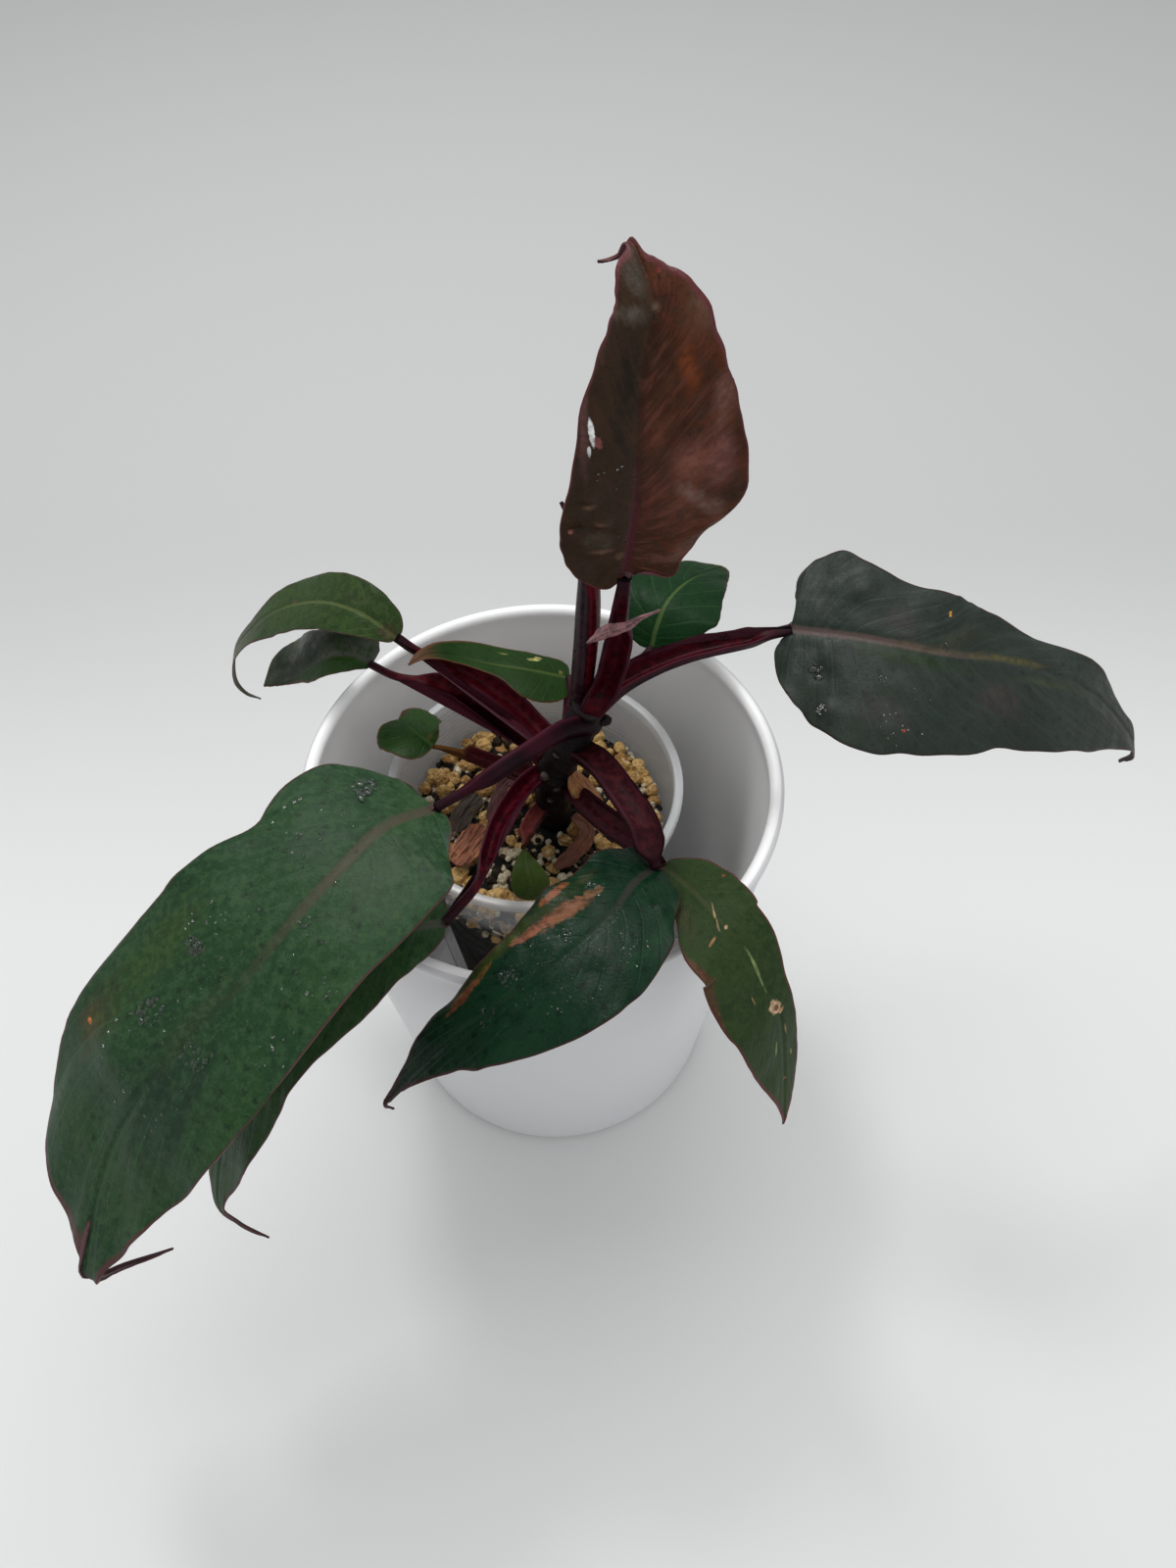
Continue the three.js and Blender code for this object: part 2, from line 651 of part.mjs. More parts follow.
function grainSolid(x, y, z, size, random) {
  const geometry = new THREE.IcosahedronGeometry(size, 0);
  geometry.deleteAttribute('normal');
  geometry.deleteAttribute('uv');
  const lump = mergeVertices(geometry, 1e-3);
  const spots = lump.attributes.position;
  for (let i = 0; i < spots.count; i++) {
    const scale = lerp(0.82, 1.16, random());
    spots.setXYZ(i, spots.getX(i) * scale, spots.getY(i) * scale, spots.getZ(i) * scale * 0.85);
  }
  lump.rotateZ(random() * Math.PI);
  lump.translate(x, y, z);
  return solidOf(lump);
}

function mixSurface(x, y) {
  const away = Math.hypot(x - cup.x, y - cup.y) / cup.rim;
  return mixLevel + mixDome * (1 - away ** 2);
}

function mixRadius(z) {
  const bottom = cupBase + cup.floor;
  return lerp(cup.foot - cup.wall, cup.rim - cup.lip, (z - bottom) / (cup.top - bottom));
}

function mixSolid() {
  const random = seeded(7);
  const bottom = cupBase + cup.floor + clearance;
  const edge = mixRadius(mixLevel) - 2 * clearance;
  const footInset = 1.5;
  const body = turned([
    [0, bottom],
    [mixRadius(bottom) - clearance - footInset, bottom],
    [edge, mixLevel],
    [edge * 0.55, mixLevel + mixDome * 0.7],
    [0, mixLevel + mixDome],
  ], 36).translate([cup.x, cup.y, 0]);
  const lumps = [];
  const golden = Math.PI * (3 - Math.sqrt(5));
  for (let i = 0; i < grains.count; i++) {
    const size = lerp(grains.smallest, grains.largest, random());
    const away = (edge - size * 1.2) * Math.sqrt((i + 0.5) / grains.count);
    const x = cup.x + away * Math.cos(i * golden);
    const y = cup.y + away * Math.sin(i * golden);
    if (Math.hypot(x - stem.path[0][0], y - stem.path[0][1]) < grains.stemClear) continue;
    lumps.push(grainSolid(x, y, mixSurface(x, y) + size * grains.sink, size, random));
  }
  return lumps.reduce((whole, lump) => whole.add(lump), body);
}

// Assembly: each piece is cut back from the ones before it that it meets.

const finishes = {
  coverPot: { color: 0xe9e9ea, roughness: 0.45, metalness: 0 },
  cup: { color: 0xc9cccd, roughness: 0.25, metalness: 0, transparent: true, opacity: 0.45 },
  mix: { color: 0xa98a5c, roughness: 0.95, metalness: 0 },
  stem: { color: 0x2a1a1c, roughness: 0.6, metalness: 0 },
  stalk: { color: 0x3c1826, roughness: 0.4, metalness: 0 },
  green: { color: 0x2b4a2f, roughness: 0.35, metalness: 0 },
  copper: { color: 0x6e4239, roughness: 0.3, metalness: 0 },
  dark: { color: 0x333c38, roughness: 0.4, metalness: 0 },
  bract: { color: 0x8a5a5c, roughness: 0.5, metalness: 0 },
  husk: { color: 0x9a5f34, roughness: 0.8, metalness: 0 },
};
const bladeFinish = { upright: finishes.copper, right: finishes.dark };

const plant = new THREE.Group();

function addPart(name, solid, finish) {
  const { vertProperties, triVerts } = solid.getMesh();
  const geometry = new THREE.BufferGeometry();
  geometry.setAttribute('position', new THREE.BufferAttribute(vertProperties, 3));
  geometry.setIndex(new THREE.BufferAttribute(triVerts, 1));
  geometry.computeVertexNormals();
  const mesh = new THREE.Mesh(geometry, new THREE.MeshStandardMaterial(finish));
  mesh.name = name;
  plant.add(mesh);
}

const stemRoom = [-clearance, clearance].map((lift) => stemSolid(clearance).translate([0, 0, lift]));
const mix = cutBy(mixSolid(), stemRoom);

addPart('cover_pot', coverPotSolid(), finishes.coverPot);
addPart('nursery_cup', cupSolid(), finishes.cup);
addPart('potting_mix', mix, finishes.mix);
addPart('main_stem', stemSolid(), finishes.stem);

for (const [name, blade] of Object.entries(blades)) {
  addPart(`blade_${name}`, bladeSolid(blade, bladeThickness), bladeFinish[name] ?? finishes.green);
}

const stalkRoom = [...stemRoom];
for (const [name, stalk] of Object.entries(stalks)) {
  const bladeRoom = roomOf(bladeSolid(blades[name], bladeThickness));
  addPart(`stalk_${name}`, cutBy(stalkSolid(stalk), [...stalkRoom, ...bladeRoom]), finishes.stalk);
  stalkRoom.push(stalkSolid(stalk, clearance));
}
addPart('new_leaf', cutBy(newLeafSolid(), stalkRoom), finishes.stalk);
addPart('bract', cutBy(bractSolid(), stalkRoom), finishes.bract);

const huskRoom = [...stalkRoom, ...roomOf(mix), ...roomOf(cupSolid())];
for (const [name, husk] of Object.entries(husks)) {
  addPart(`husk_${name}`, cutBy(huskSolid(husk), huskRoom), finishes.husk);
  huskRoom.push(...roomOf(huskSolid(husk)));
}

export default plant;
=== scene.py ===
# A variegated philodendron in a clear nursery cup, standing in a white cover pot.
# The dictionaries give millimetres and degrees, and the meshes are in metres.
import math
import random

import bmesh
import bpy
from mathutils import Matrix, Vector, noise


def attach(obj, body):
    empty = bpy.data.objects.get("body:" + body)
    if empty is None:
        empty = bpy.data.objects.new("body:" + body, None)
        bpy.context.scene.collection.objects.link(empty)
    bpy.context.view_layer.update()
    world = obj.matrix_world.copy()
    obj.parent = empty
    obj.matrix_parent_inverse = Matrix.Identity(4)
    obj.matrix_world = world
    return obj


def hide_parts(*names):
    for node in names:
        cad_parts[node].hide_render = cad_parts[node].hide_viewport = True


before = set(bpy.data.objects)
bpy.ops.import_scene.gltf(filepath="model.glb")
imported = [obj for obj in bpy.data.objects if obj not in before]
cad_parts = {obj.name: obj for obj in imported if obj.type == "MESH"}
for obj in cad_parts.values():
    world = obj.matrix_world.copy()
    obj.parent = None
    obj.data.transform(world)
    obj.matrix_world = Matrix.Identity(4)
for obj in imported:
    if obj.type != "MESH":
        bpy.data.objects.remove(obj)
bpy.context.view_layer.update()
mm = 0.001


# numbers and paths

def lerp(start, end, share):
    return start + (end - start) * share


def clamp(value, low=0.0, high=1.0):
    return min(max(value, low), high)


def ease(value, low, high):
    share = clamp((value - low) / (high - low))
    return share * share * (3 - 2 * share)


def curvePoint(points, share):
    spot = clamp(share) * (len(points) - 1)
    low = min(int(spot), len(points) - 2)
    w = spot - low
    p1, p2 = points[low], points[low + 1]
    p0 = points[low - 1] if low > 0 else p1 * 2 - p2
    p3 = points[low + 2] if low + 2 < len(points) else p2 * 2 - p1
    bend = p0 * 2 - p1 * 5 + p2 * 4 - p3
    return (p1 * 2 + (p2 - p0) * w + bend * w * w + (p1 * 3 - p0 - p2 * 3 + p3) * w ** 3) * 0.5


def makeRail(path, face=(0, 0, 1), roll=(0, 0)):
    # even steps along a curve, each with its along, up and side directions
    points = [Vector(p) for p in path]
    dense = [curvePoint(points, i / 600) for i in range(601)]
    runs = [0.0]
    for i in range(600):
        runs.append(runs[-1] + (dense[i + 1] - dense[i]).length)
    steps, stations, k = 120, [], 0
    up = Vector(face)
    for i in range(steps + 1):
        target = runs[-1] * i / steps
        while k < 599 and runs[k + 1] < target:
            k += 1
        share = (target - runs[k]) / (runs[k + 1] - runs[k])
        along = (dense[min(k + 2, 600)] - dense[max(k - 1, 0)]).normalized()
        up = (up - along * up.dot(along)).normalized()
        side = along.cross(up)
        turn = math.radians(lerp(*roll, i / steps))
        turnedUp = up * math.cos(turn) + side * math.sin(turn)
        turnedSide = side * math.cos(turn) - up * math.sin(turn)
        stations.append((dense[k].lerp(dense[k + 1], share), along, turnedUp, turnedSide))
    return stations, runs[-1]


def railAt(rail, place):
    stations, length = rail
    spot = clamp(place) * (len(stations) - 1)
    low = min(int(spot), len(stations) - 2)
    here, there, w = stations[low], stations[low + 1], spot - low
    point, along, up, side = [here[k].lerp(there[k], w) for k in range(4)]
    along.normalize()
    return point + along * (place - clamp(place)) * length, along, up.normalized(), side.normalized()


# meshes and their ties to the frame

def addPiece(name, bm, materials, node=None):
    mesh = bpy.data.meshes.new(name)
    bm.normal_update()
    bm.to_mesh(mesh)
    bm.free()
    for material in materials:
        mesh.materials.append(material)
    mesh.shade_smooth()
    piece = bpy.data.objects.new(name, mesh)
    bpy.context.scene.collection.objects.link(piece)
    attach(piece, "root")
    if node:
        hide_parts(*([node] if isinstance(node, str) else node))
    return piece


def capEnds(bm):
    bmesh.ops.remove_doubles(bm, verts=bm.verts, dist=1e-7)
    bmesh.ops.holes_fill(bm, edges=[e for e in bm.edges if e.is_boundary], sides=0)


def faceOut(bm):
    bmesh.ops.recalc_face_normals(bm, faces=bm.faces)


# node helpers for the materials

def tone(red, green, blue):
    # a colour as a paint chart gives it, from 0 to 255
    parts = [value / 255 for value in (red, green, blue)]
    return tuple(p / 12.92 if p <= 0.04045 else ((p + 0.055) / 1.055) ** 2.4 for p in parts) + (1.0,)


def newMaterial(name):
    # a material, its surface's inputs and the place on the object
    material = bpy.data.materials.new(name)
    material.use_nodes = True
    nodes = material.node_tree.nodes
    return material, nodes["Principled BSDF"].inputs, nodes.new("ShaderNodeTexCoord").outputs["Object"]


def newNode(neighbour, kind):
    return neighbour.id_data.nodes.new("ShaderNode" + kind)


def feed(socket, value):
    if isinstance(value, bpy.types.NodeSocket):
        socket.id_data.links.new(value, socket)
    else:
        socket.default_value = value


def reckon(operation, first, second=0.0):
    made = newNode(first, "Math")
    made.operation = operation
    feed(made.inputs[0], first)
    feed(made.inputs[1], second)
    return made.outputs[0]


def plus(first, second):
    return reckon("ADD", first, second)


def minus(first, second):
    return reckon("SUBTRACT", first, second)


def times(first, second):
    return reckon("MULTIPLY", first, second)


def unsigned(value):
    return reckon("ABSOLUTE", value)


def span(value, low, high, start=0.0, end=1.0):
    made = newNode(value, "MapRange")
    made.interpolation_type = "SMOOTHSTEP"
    for socket, given in zip(made.inputs, (value, low, high, start, end)):
        feed(socket, given)
    return made.outputs[0]


def blend(share, first, second):
    # two colours, each from the materials or as red, green and blue
    made = newNode(share, "Mix")
    made.data_type = "RGBA"
    for index, given in ((0, share), (6, first), (7, second)):
        feed(made.inputs[index], tone(*given) if isinstance(given, tuple) else given)
    return made.outputs[2]


def cloud(vector, scale, detail=3.0, rough=0.5, skew=0.0):
    made = newNode(vector, "TexNoise")
    feed(made.inputs["Vector"], vector)
    for name, value in (("Scale", scale), ("Detail", detail), ("Roughness", rough), ("Distortion", skew)):
        feed(made.inputs[name], value)
    return made.outputs["Fac"]


def cells(vector, scale):
    made = newNode(vector, "TexVoronoi")
    feed(made.inputs["Vector"], vector)
    feed(made.inputs["Scale"], scale)
    return made.outputs


def axes(vector):
    made = newNode(vector, "SeparateXYZ")
    feed(made.inputs[0], vector)
    return made.outputs


def fromAttribute(material, name):
    made = material.node_tree.nodes.new("ShaderNodeAttribute")
    made.attribute_name = name
    return made.outputs["Vector"]


def gather(x, y):
    made = newNode(x, "CombineXYZ")
    feed(made.inputs[0], x)
    feed(made.inputs[1], y)
    return made.outputs[0]


def shifted(vector, place, size, turn=0.0):
    # the vector seen from a patch's own centre, turn and size
    made = newNode(vector, "Mapping")
    made.vector_type = "TEXTURE"
    feed(made.inputs["Vector"], vector)
    feed(made.inputs["Location"], place)
    feed(made.inputs["Rotation"], (0, 0, math.radians(turn)))
    feed(made.inputs["Scale"], size)
    return made.outputs[0]


def addBump(surface, height, distance, strength):
    made = newNode(height, "Bump")
    feed(made.inputs["Strength"], strength)
    feed(made.inputs["Distance"], distance)
    feed(made.inputs["Height"], height)
    feed(surface["Normal"], made.outputs[0])


# leaf blades: a grid is laid over a spine, as a fan of rows from the midrib to the outline

def bladePoint(leaf, rail, place, reach):
    # the point and the upper face's normal at a place along the spine and a reach to its side
    point, along, up, side = railAt(rail, place)
    hand = -1 if reach < 0 else 1
    near = clamp(place)
    fold = math.radians(lerp(*leaf.get("fold", (4, 4)), near))
    curl = math.radians(lerp(*leaf.get("curl", (20, 30)), near)) / leaf["width"]
    across = rise = 0.0
    step = abs(reach) / 8
    for k in range(8):
        angle = fold - curl * (k + 0.5) * step
        across += step * math.cos(angle)
        rise += step * math.sin(angle)
    angle = fold - curl * abs(reach)
    normal = up * math.cos(angle) - side * (hand * math.sin(angle))
    return point + side * (hand * across) + up * rise, normal


def bladeRelief(leaf, length, place, reach):
    # midrib channel, soft swellings and named puckers, in millimetres
    near = clamp(place)
    rib = leaf["rib"] * lerp(1, 0.3, near)
    height = -0.16 * leaf["rib"] * math.exp(-(reach / rib) ** 2)
    height += 0.05 * leaf["rib"] * math.exp(-((abs(reach) - 2 * rib) / rib) ** 2)
    spot = Vector((reach, place * length, leaf["seed"]))
    swell = noise.noise(spot * 0.07) + 0.45 * noise.noise(spot * 0.2)
    height += leaf["swell"] * swell * ease(abs(reach), 0, 6)
    for x, y, wide, tall in leaf.get("puckers", ()):
        far = math.hypot(reach - x, place * length - y) / wide
        height += tall * math.exp(-far * far * 2.2)
    return height


def bladeBody(leaf):
    rail = makeRail(leaf["spine"], leaf.get("face", (0, 0, 1)), leaf.get("roll", (0, 0)))
    length = rail[1]
    outlines = [[Vector((x, y)) for x, y in leaf[side]] for side in ("left", "right")]
    bm = bmesh.new()
    bm.loops.layers.uv.new("leaf")
    flat = bm.verts.layers.float_vector.new("leafFlat")
    fan = bm.verts.layers.float_vector.new("leafFan")
    weights = bm.verts.layers.deform.verify()
    columns, rows = leaf["grid"]
    bmesh.ops.create_grid(bm, x_segments=2 * columns, y_segments=rows, size=1, calc_uvs=True)
    for vert in bm.verts:
        share = (vert.co.y + 1) / 2
        hand = -1 if vert.co.x < 0 else 1
        outward = abs(vert.co.x) ** 1.15
        edge = curvePoint(outlines[0 if hand < 0 else 1], share)
        spot = Vector((share * 26, hand * 4, leaf["seed"]))
        ragged = leaf["ragged"] * noise.noise(spot) * ease(edge.y, 2, 8)
        margin = max(edge.y + ragged, 0)
        root = share ** leaf.get("fan", 1.8)
        place = root + (edge.x - root) * outward ** 1.25
        reach = hand * margin * outward
        point, normal = bladePoint(leaf, rail, place, reach)
        height = bladeRelief(leaf, length, place, reach)
        leant = share - leaf["look"].get("lean", 0.08) * outward
        vein = math.cos(2 * math.pi * (leant * leaf["veins"] + 0.3 * hand))
        height -= 0.6 * leaf["veinDepth"] * max(vein, 0) ** 3 * ease(outward, 0.06, 0.3)
        ripple = math.sin(2 * math.pi * share * leaf["waves"] + hand + leaf["seed"])
        height += leaf["wave"] * outward ** 4 * ripple * ease(margin, 2, 10)
        vert.co = (point + normal * (height + 0.2)) * mm
        vert[flat] = (reach, place * length, margin - abs(reach))
        vert[fan] = (hand * outward, share, place)
        rib = leaf["rib"] * lerp(0.9, 0.3, clamp(place))
        keel = math.exp(-(reach / rib) ** 2) * lerp(1, 0.15, clamp(place))
        vert[weights][0] = clamp(lerp(0.26, 1, keel))
    bmesh.ops.remove_doubles(bm, verts=bm.verts, dist=1e-7)
    return bm, rail


def leafMaterial(name, look):
    material, surface, place = newMaterial(name)
    flat = fromAttribute(material, "leafFlat")
    outward, share, near = axes(fromAttribute(material, "leafFan"))
    flatAxes = axes(flat)
    across, toEdge = flatAxes[0], flatAxes[2]
    twoSided = "rightDark" in look
    broad = cloud(place, look.get("broad", 38), 3, 0.55, 0.6)
    mottle = cloud(place, 430, 3, 0.65)
    specks = cloud(place, 1300, 2, 0.6)
    base = blend(span(broad, 0.3, 0.7, 0.1, 0.9), look["dark"], look["light"])
    if twoSided:
        sideLine = plus(across, times(cloud(place, 130, 2), 1.2))
        other = blend(span(broad, 0.4, 0.6), look["rightDark"], look["rightLight"])
        base = blend(span(sideLine, 0.1, 1.1), base, other)
    base = blend(span(mottle, 0.44, 0.62, 0, 0.6), base, look["mottle"])
    base = blend(span(specks, 0.56, 0.66, 0, 0.5), base, look["speck"])
    spotGap = plus(cells(place, 230)["Distance"], specks)
    base = blend(span(spotGap, 0.76, 0.6, 0, look.get("spots", 0.5)), base, look["speck"])
    # streaks run with the side veins, which lean towards the tip
    leant = minus(share, times(unsigned(outward), look.get("lean", 0.08)))
    streaks = cloud(gather(times(outward, 1.6), times(leant, 34)), 1.0, 4, 0.65)
    wander = times(cloud(place, 60, 2), 0.5)
    veinRun = reckon("FRACT", plus(times(leant, look["veins"]), wander))
    veinMask = span(unsigned(minus(veinRun, 0.5)), 0.09, 0.0)
    veinMask = times(veinMask, span(unsigned(outward), 0.03, 0.16))
    streakMask = span(streaks, 0.47, 0.68, 0, look.get("streakShare", 0))
    if twoSided:
        rightOnly = span(across, -2, 3, 0.12, 1)
        streakMask = times(streakMask, rightOnly)
        veinMask = times(veinMask, rightOnly)
    if "streak" in look:
        base = blend(streakMask, base, look["streak"])
    base = blend(times(veinMask, look["veinShare"]), base, look["vein"])
    # midrib, wide at the stalk and fading towards its end
    ribHalf = span(near, 0, 1, look["ribWide"], look["ribWide"] * 0.25)
    ribGap = plus(reckon("DIVIDE", unsigned(across), ribHalf), times(cloud(place, 420, 2), 0.5))
    ribMask = times(span(ribGap, 1.4, 0.75), span(near, *look["ribFade"], look["ribShare"], 0))
    base = blend(ribMask, base, look["midrib"])
    # a strong patch has a torn edge, and a faint one fades along the veins
    torn = times(minus(cloud(place, 420, 4, 0.7), 0.5), 1.5)
    faded = times(minus(streaks, 0.5), 2.4)
    grained = span(plus(streaks, mottle), 0.85, 1.15)
    for x, y, long, wide, turn, colour, strength in look.get("patches", ()):
        gap = newNode(flat, "VectorMath")
        gap.operation = "LENGTH"
        feed(gap.inputs[0], shifted(flat, (x, y, 0), (long, wide, 1000), turn))
        fringe, inner = (torn, 0.7) if strength >= 0.8 else (faded, 0.1)
        patchMask = span(plus(gap.outputs["Value"], fringe), 1.05, inner, 0, strength)
        deep, pale = tuple(c * 0.8 for c in colour), tuple(min(c * 1.1, 255) for c in colour)
        base = blend(patchMask, base, blend(grained, deep, pale))
    if "tail" in look:
        low, high, colour = look["tail"]
        base = blend(span(near, low, high), base, colour)
    base = blend(span(toEdge, look["marginWide"], look["marginWide"] * 0.35, 0, 0.9), base, look["margin"])
    feed(surface["Base Color"], base)
    feed(surface["Roughness"], span(mottle, 0.3, 0.75, look["rough"] - 0.07, look["rough"] + 0.1))
    feed(surface["Specular IOR Level"], look.get("shine", 0.16))
    skin = plus(plus(times(specks, 0.35), times(mottle, 0.8)), times(streaks, look.get("pleat", 0.8)))
    addBump(surface, minus(skin, times(veinMask, 0.3)), 0.0003, look.get("relief", 0.6))
    return material


def plainLeafMaterial(name, dark, light, rough=0.5):
    # undersides and rims
    material, surface, place = newMaterial(name)
    outward, share, near = axes(fromAttribute(material, "leafFan"))
    streaks = cloud(gather(times(outward, 1.6), times(share, 40)), 1.0, 3, 0.6)
    broad = cloud(place, 90, 3)
    blur = plus(times(streaks, 0.6), times(broad, 0.4))
    feed(surface["Base Color"], blend(span(blur, 0.35, 0.65), dark, light))
    feed(surface["Roughness"], span(broad, 0.3, 0.7, rough - 0.06, rough + 0.1))
    feed(surface["Specular IOR Level"], 0.35)
    addBump(surface, streaks, 0.0003, 0.5)
    return material


def addLeaf(name, leaf, node):
    bm, rail = bladeBody(leaf)
    look = leaf["look"]
    upper = leafMaterial(name + "Upper", look)
    under = plainLeafMaterial(name + "Under", *look["under"])
    rim = plainLeafMaterial(name + "Rim", look["margin"], look["margin"], 0.4)
    piece = addPiece(name, bm, [upper, under, rim], node)
    wall = piece.modifiers.new("thickness", "SOLIDIFY")
    wall.thickness = leaf["thick"] * mm
    wall.offset = -1
    wall.vertex_group = piece.vertex_groups.new(name="rib").name
    wall.material_offset = 1
    wall.material_offset_rim = 2
    leafRails[name] = (leaf, rail)


leafRails = {}
greenLook = {"vein": (44, 84, 50), "veinShare": 0.12, "veins": 17, "marginWide": 0.5}

uprightLeaf = {
    "spine": [
        (24, -13, 247), (26, -15, 270), (26, -14, 289), (27, -11, 302), (29, -8, 313),
        (26.8, -2, 318.8), (24.6, 4, 320.5), (22.6, 6.5, 316.4), (20.4, 6.8, 315.4),
        (18.2, 6.8, 315.2),
    ],
    "face": (0, -1, 0.35),
    "left": [
        (0, 0), (-0.05, 3), (-0.05, 6.5), (0.01, 13), (0.083, 16), (0.2, 16.5), (0.36, 14),
        (0.54, 11.2), (0.65, 8.8), (0.73, 8), (0.79, 6.6), (0.84, 4.4), (0.87, 1.6), (0.93, 0.8),
        (1, 0),
    ],
    "right": [
        (0, 0), (0.03, 5), (0.03, 11), (0.09, 13.4), (0.175, 16.8), (0.28, 23.4), (0.405, 24),
        (0.54, 21), (0.63, 17.8), (0.68, 15), (0.72, 11.8), (0.76, 8), (0.79, 5), (0.82, 3),
        (0.85, 1.2), (0.93, 0.9), (1, 0),
    ],
    "fold": (8, 14), "width": 24, "grid": (30, 120), "thick": 1.6, "rib": 1.3,
    "seed": 3, "swell": 0.5, "ragged": 0.7, "veins": 12, "veinDepth": 0.22, "waves": 5, "wave": 0.9,
    "puckers": [
        (-11, 26, 3.2, 1.4), (-8, 19, 3.6, 1.5), (-12, 15, 2.4, -1), (-7, 11, 3, 1.1),
        (-13, 30, 2.5, -0.8), (9, 10, 3.5, 1.2), (14, 20, 4, -0.8),
    ],
    "look": {
        "dark": (42, 29, 18), "light": (64, 47, 33), "mottle": (52, 38, 25), "speck": (32, 20, 12),
        # on this blade the pale pink streaks are partly its own pink streaking and partly a painted sheen
        "rightDark": (54, 27, 14), "rightLight": (84, 43, 25), "streak": (112, 66, 54),
        "streakShare": 0.45, "lean": -0.05, "pleat": 1.2, "vein": (104, 60, 52),
        "veinShare": 0.2, "veins": 13,
        "midrib": (70, 26, 34), "ribWide": 1.4, "ribShare": 0.8, "ribFade": (0.16, 0.45),
        "margin": (96, 50, 52), "marginWide": 0.4, "tail": (0.86, 0.9, (84, 40, 46)), "rough": 0.38,
        "shine": 0.12, "relief": 0.8, "under": ((64, 38, 44), (90, 50, 56)),
        "patches": [
            (9, 58, 3, 9, 16, (124, 60, 26), 0.6),
            (6, 50, 4, 14, 8, (74, 40, 22), 0.5),
            # this pale patch and the grey one at (-5, 66) are a painted sheen on the crest where the blade
            # bends back
            (11, 68, 7, 5, 20, (104, 76, 60), 0.6),
            (17.5, 52, 3.4, 9, 0, (124, 84, 74), 0.6),
            (12, 35, 6, 8, -30, (126, 78, 68), 0.65),
            (18, 36, 4, 9, 0, (128, 80, 74), 0.65),
            (12, 27, 6, 3, -40, (122, 96, 86), 0.6),
            (17, 24, 4, 3, -30, (128, 92, 84), 0.5),
            (13, 17, 7, 3, 35, (70, 34, 14), 0.75),
            (8, 8, 5, 2.6, 10, (116, 78, 68), 0.55),
            (3, 24, 2.4, 12, -10, (96, 44, 34), 0.5),
            (4, 41, 3, 6, -20, (108, 58, 42), 0.5),
            (-3, 50, 3, 14, 0, (28, 24, 18), 0.6),
            # a painted sheen on the crest where the blade bends back
            (-5, 66, 5, 3.4, 0, (96, 90, 80), 0.6),
            (-2.4, 73, 3, 5, 0, (80, 74, 66), 0.7),
            (0.4, 67.6, 1.4, 1.4, 0, (112, 98, 80), 0.6),
            (2.7, 73.6, 0.6, 0.7, 0, (124, 54, 52), 0.85),
            (-9.5, 62, 2, 12, 0, (104, 72, 68), 0.5),
            (-11.4, 44, 1.6, 16, 0, (112, 76, 76), 0.5),
            (-8, 12, 5, 6, 0, (72, 62, 48), 0.6),
            # these two pale patches on the lower folds are painted highlights
            (-10.4, 23, 2.2, 1.4, 20, (104, 76, 60), 0.7),
            (-7.6, 18.4, 2.6, 1.2, -10, (108, 78, 62), 0.7),
            (-12, 15.6, 1.3, 0.9, 0, (30, 18, 14), 0.75),
            (-14, 14, 0.6, 0.8, 0, (146, 88, 82), 0.8),
            (-6.5, 8.4, 3, 1.6, 10, (124, 92, 76), 0.6),
            (-2, 7, 1.2, 2, 0, (112, 84, 62), 0.6),
            # the near-white fleck in two lobes is a painted glint
            (-9.6, 41.6, 0.75, 3.1, 8, (236, 238, 236), 0.95),
            (-10.2, 37.6, 0.5, 1.6, 0, (206, 206, 204), 0.85),
            (-8.2, 39.6, 0.9, 1.6, 20, (150, 84, 84), 0.8),
        ],
    },
}
addLeaf("uprightLeaf", uprightLeaf, "blade_upright")

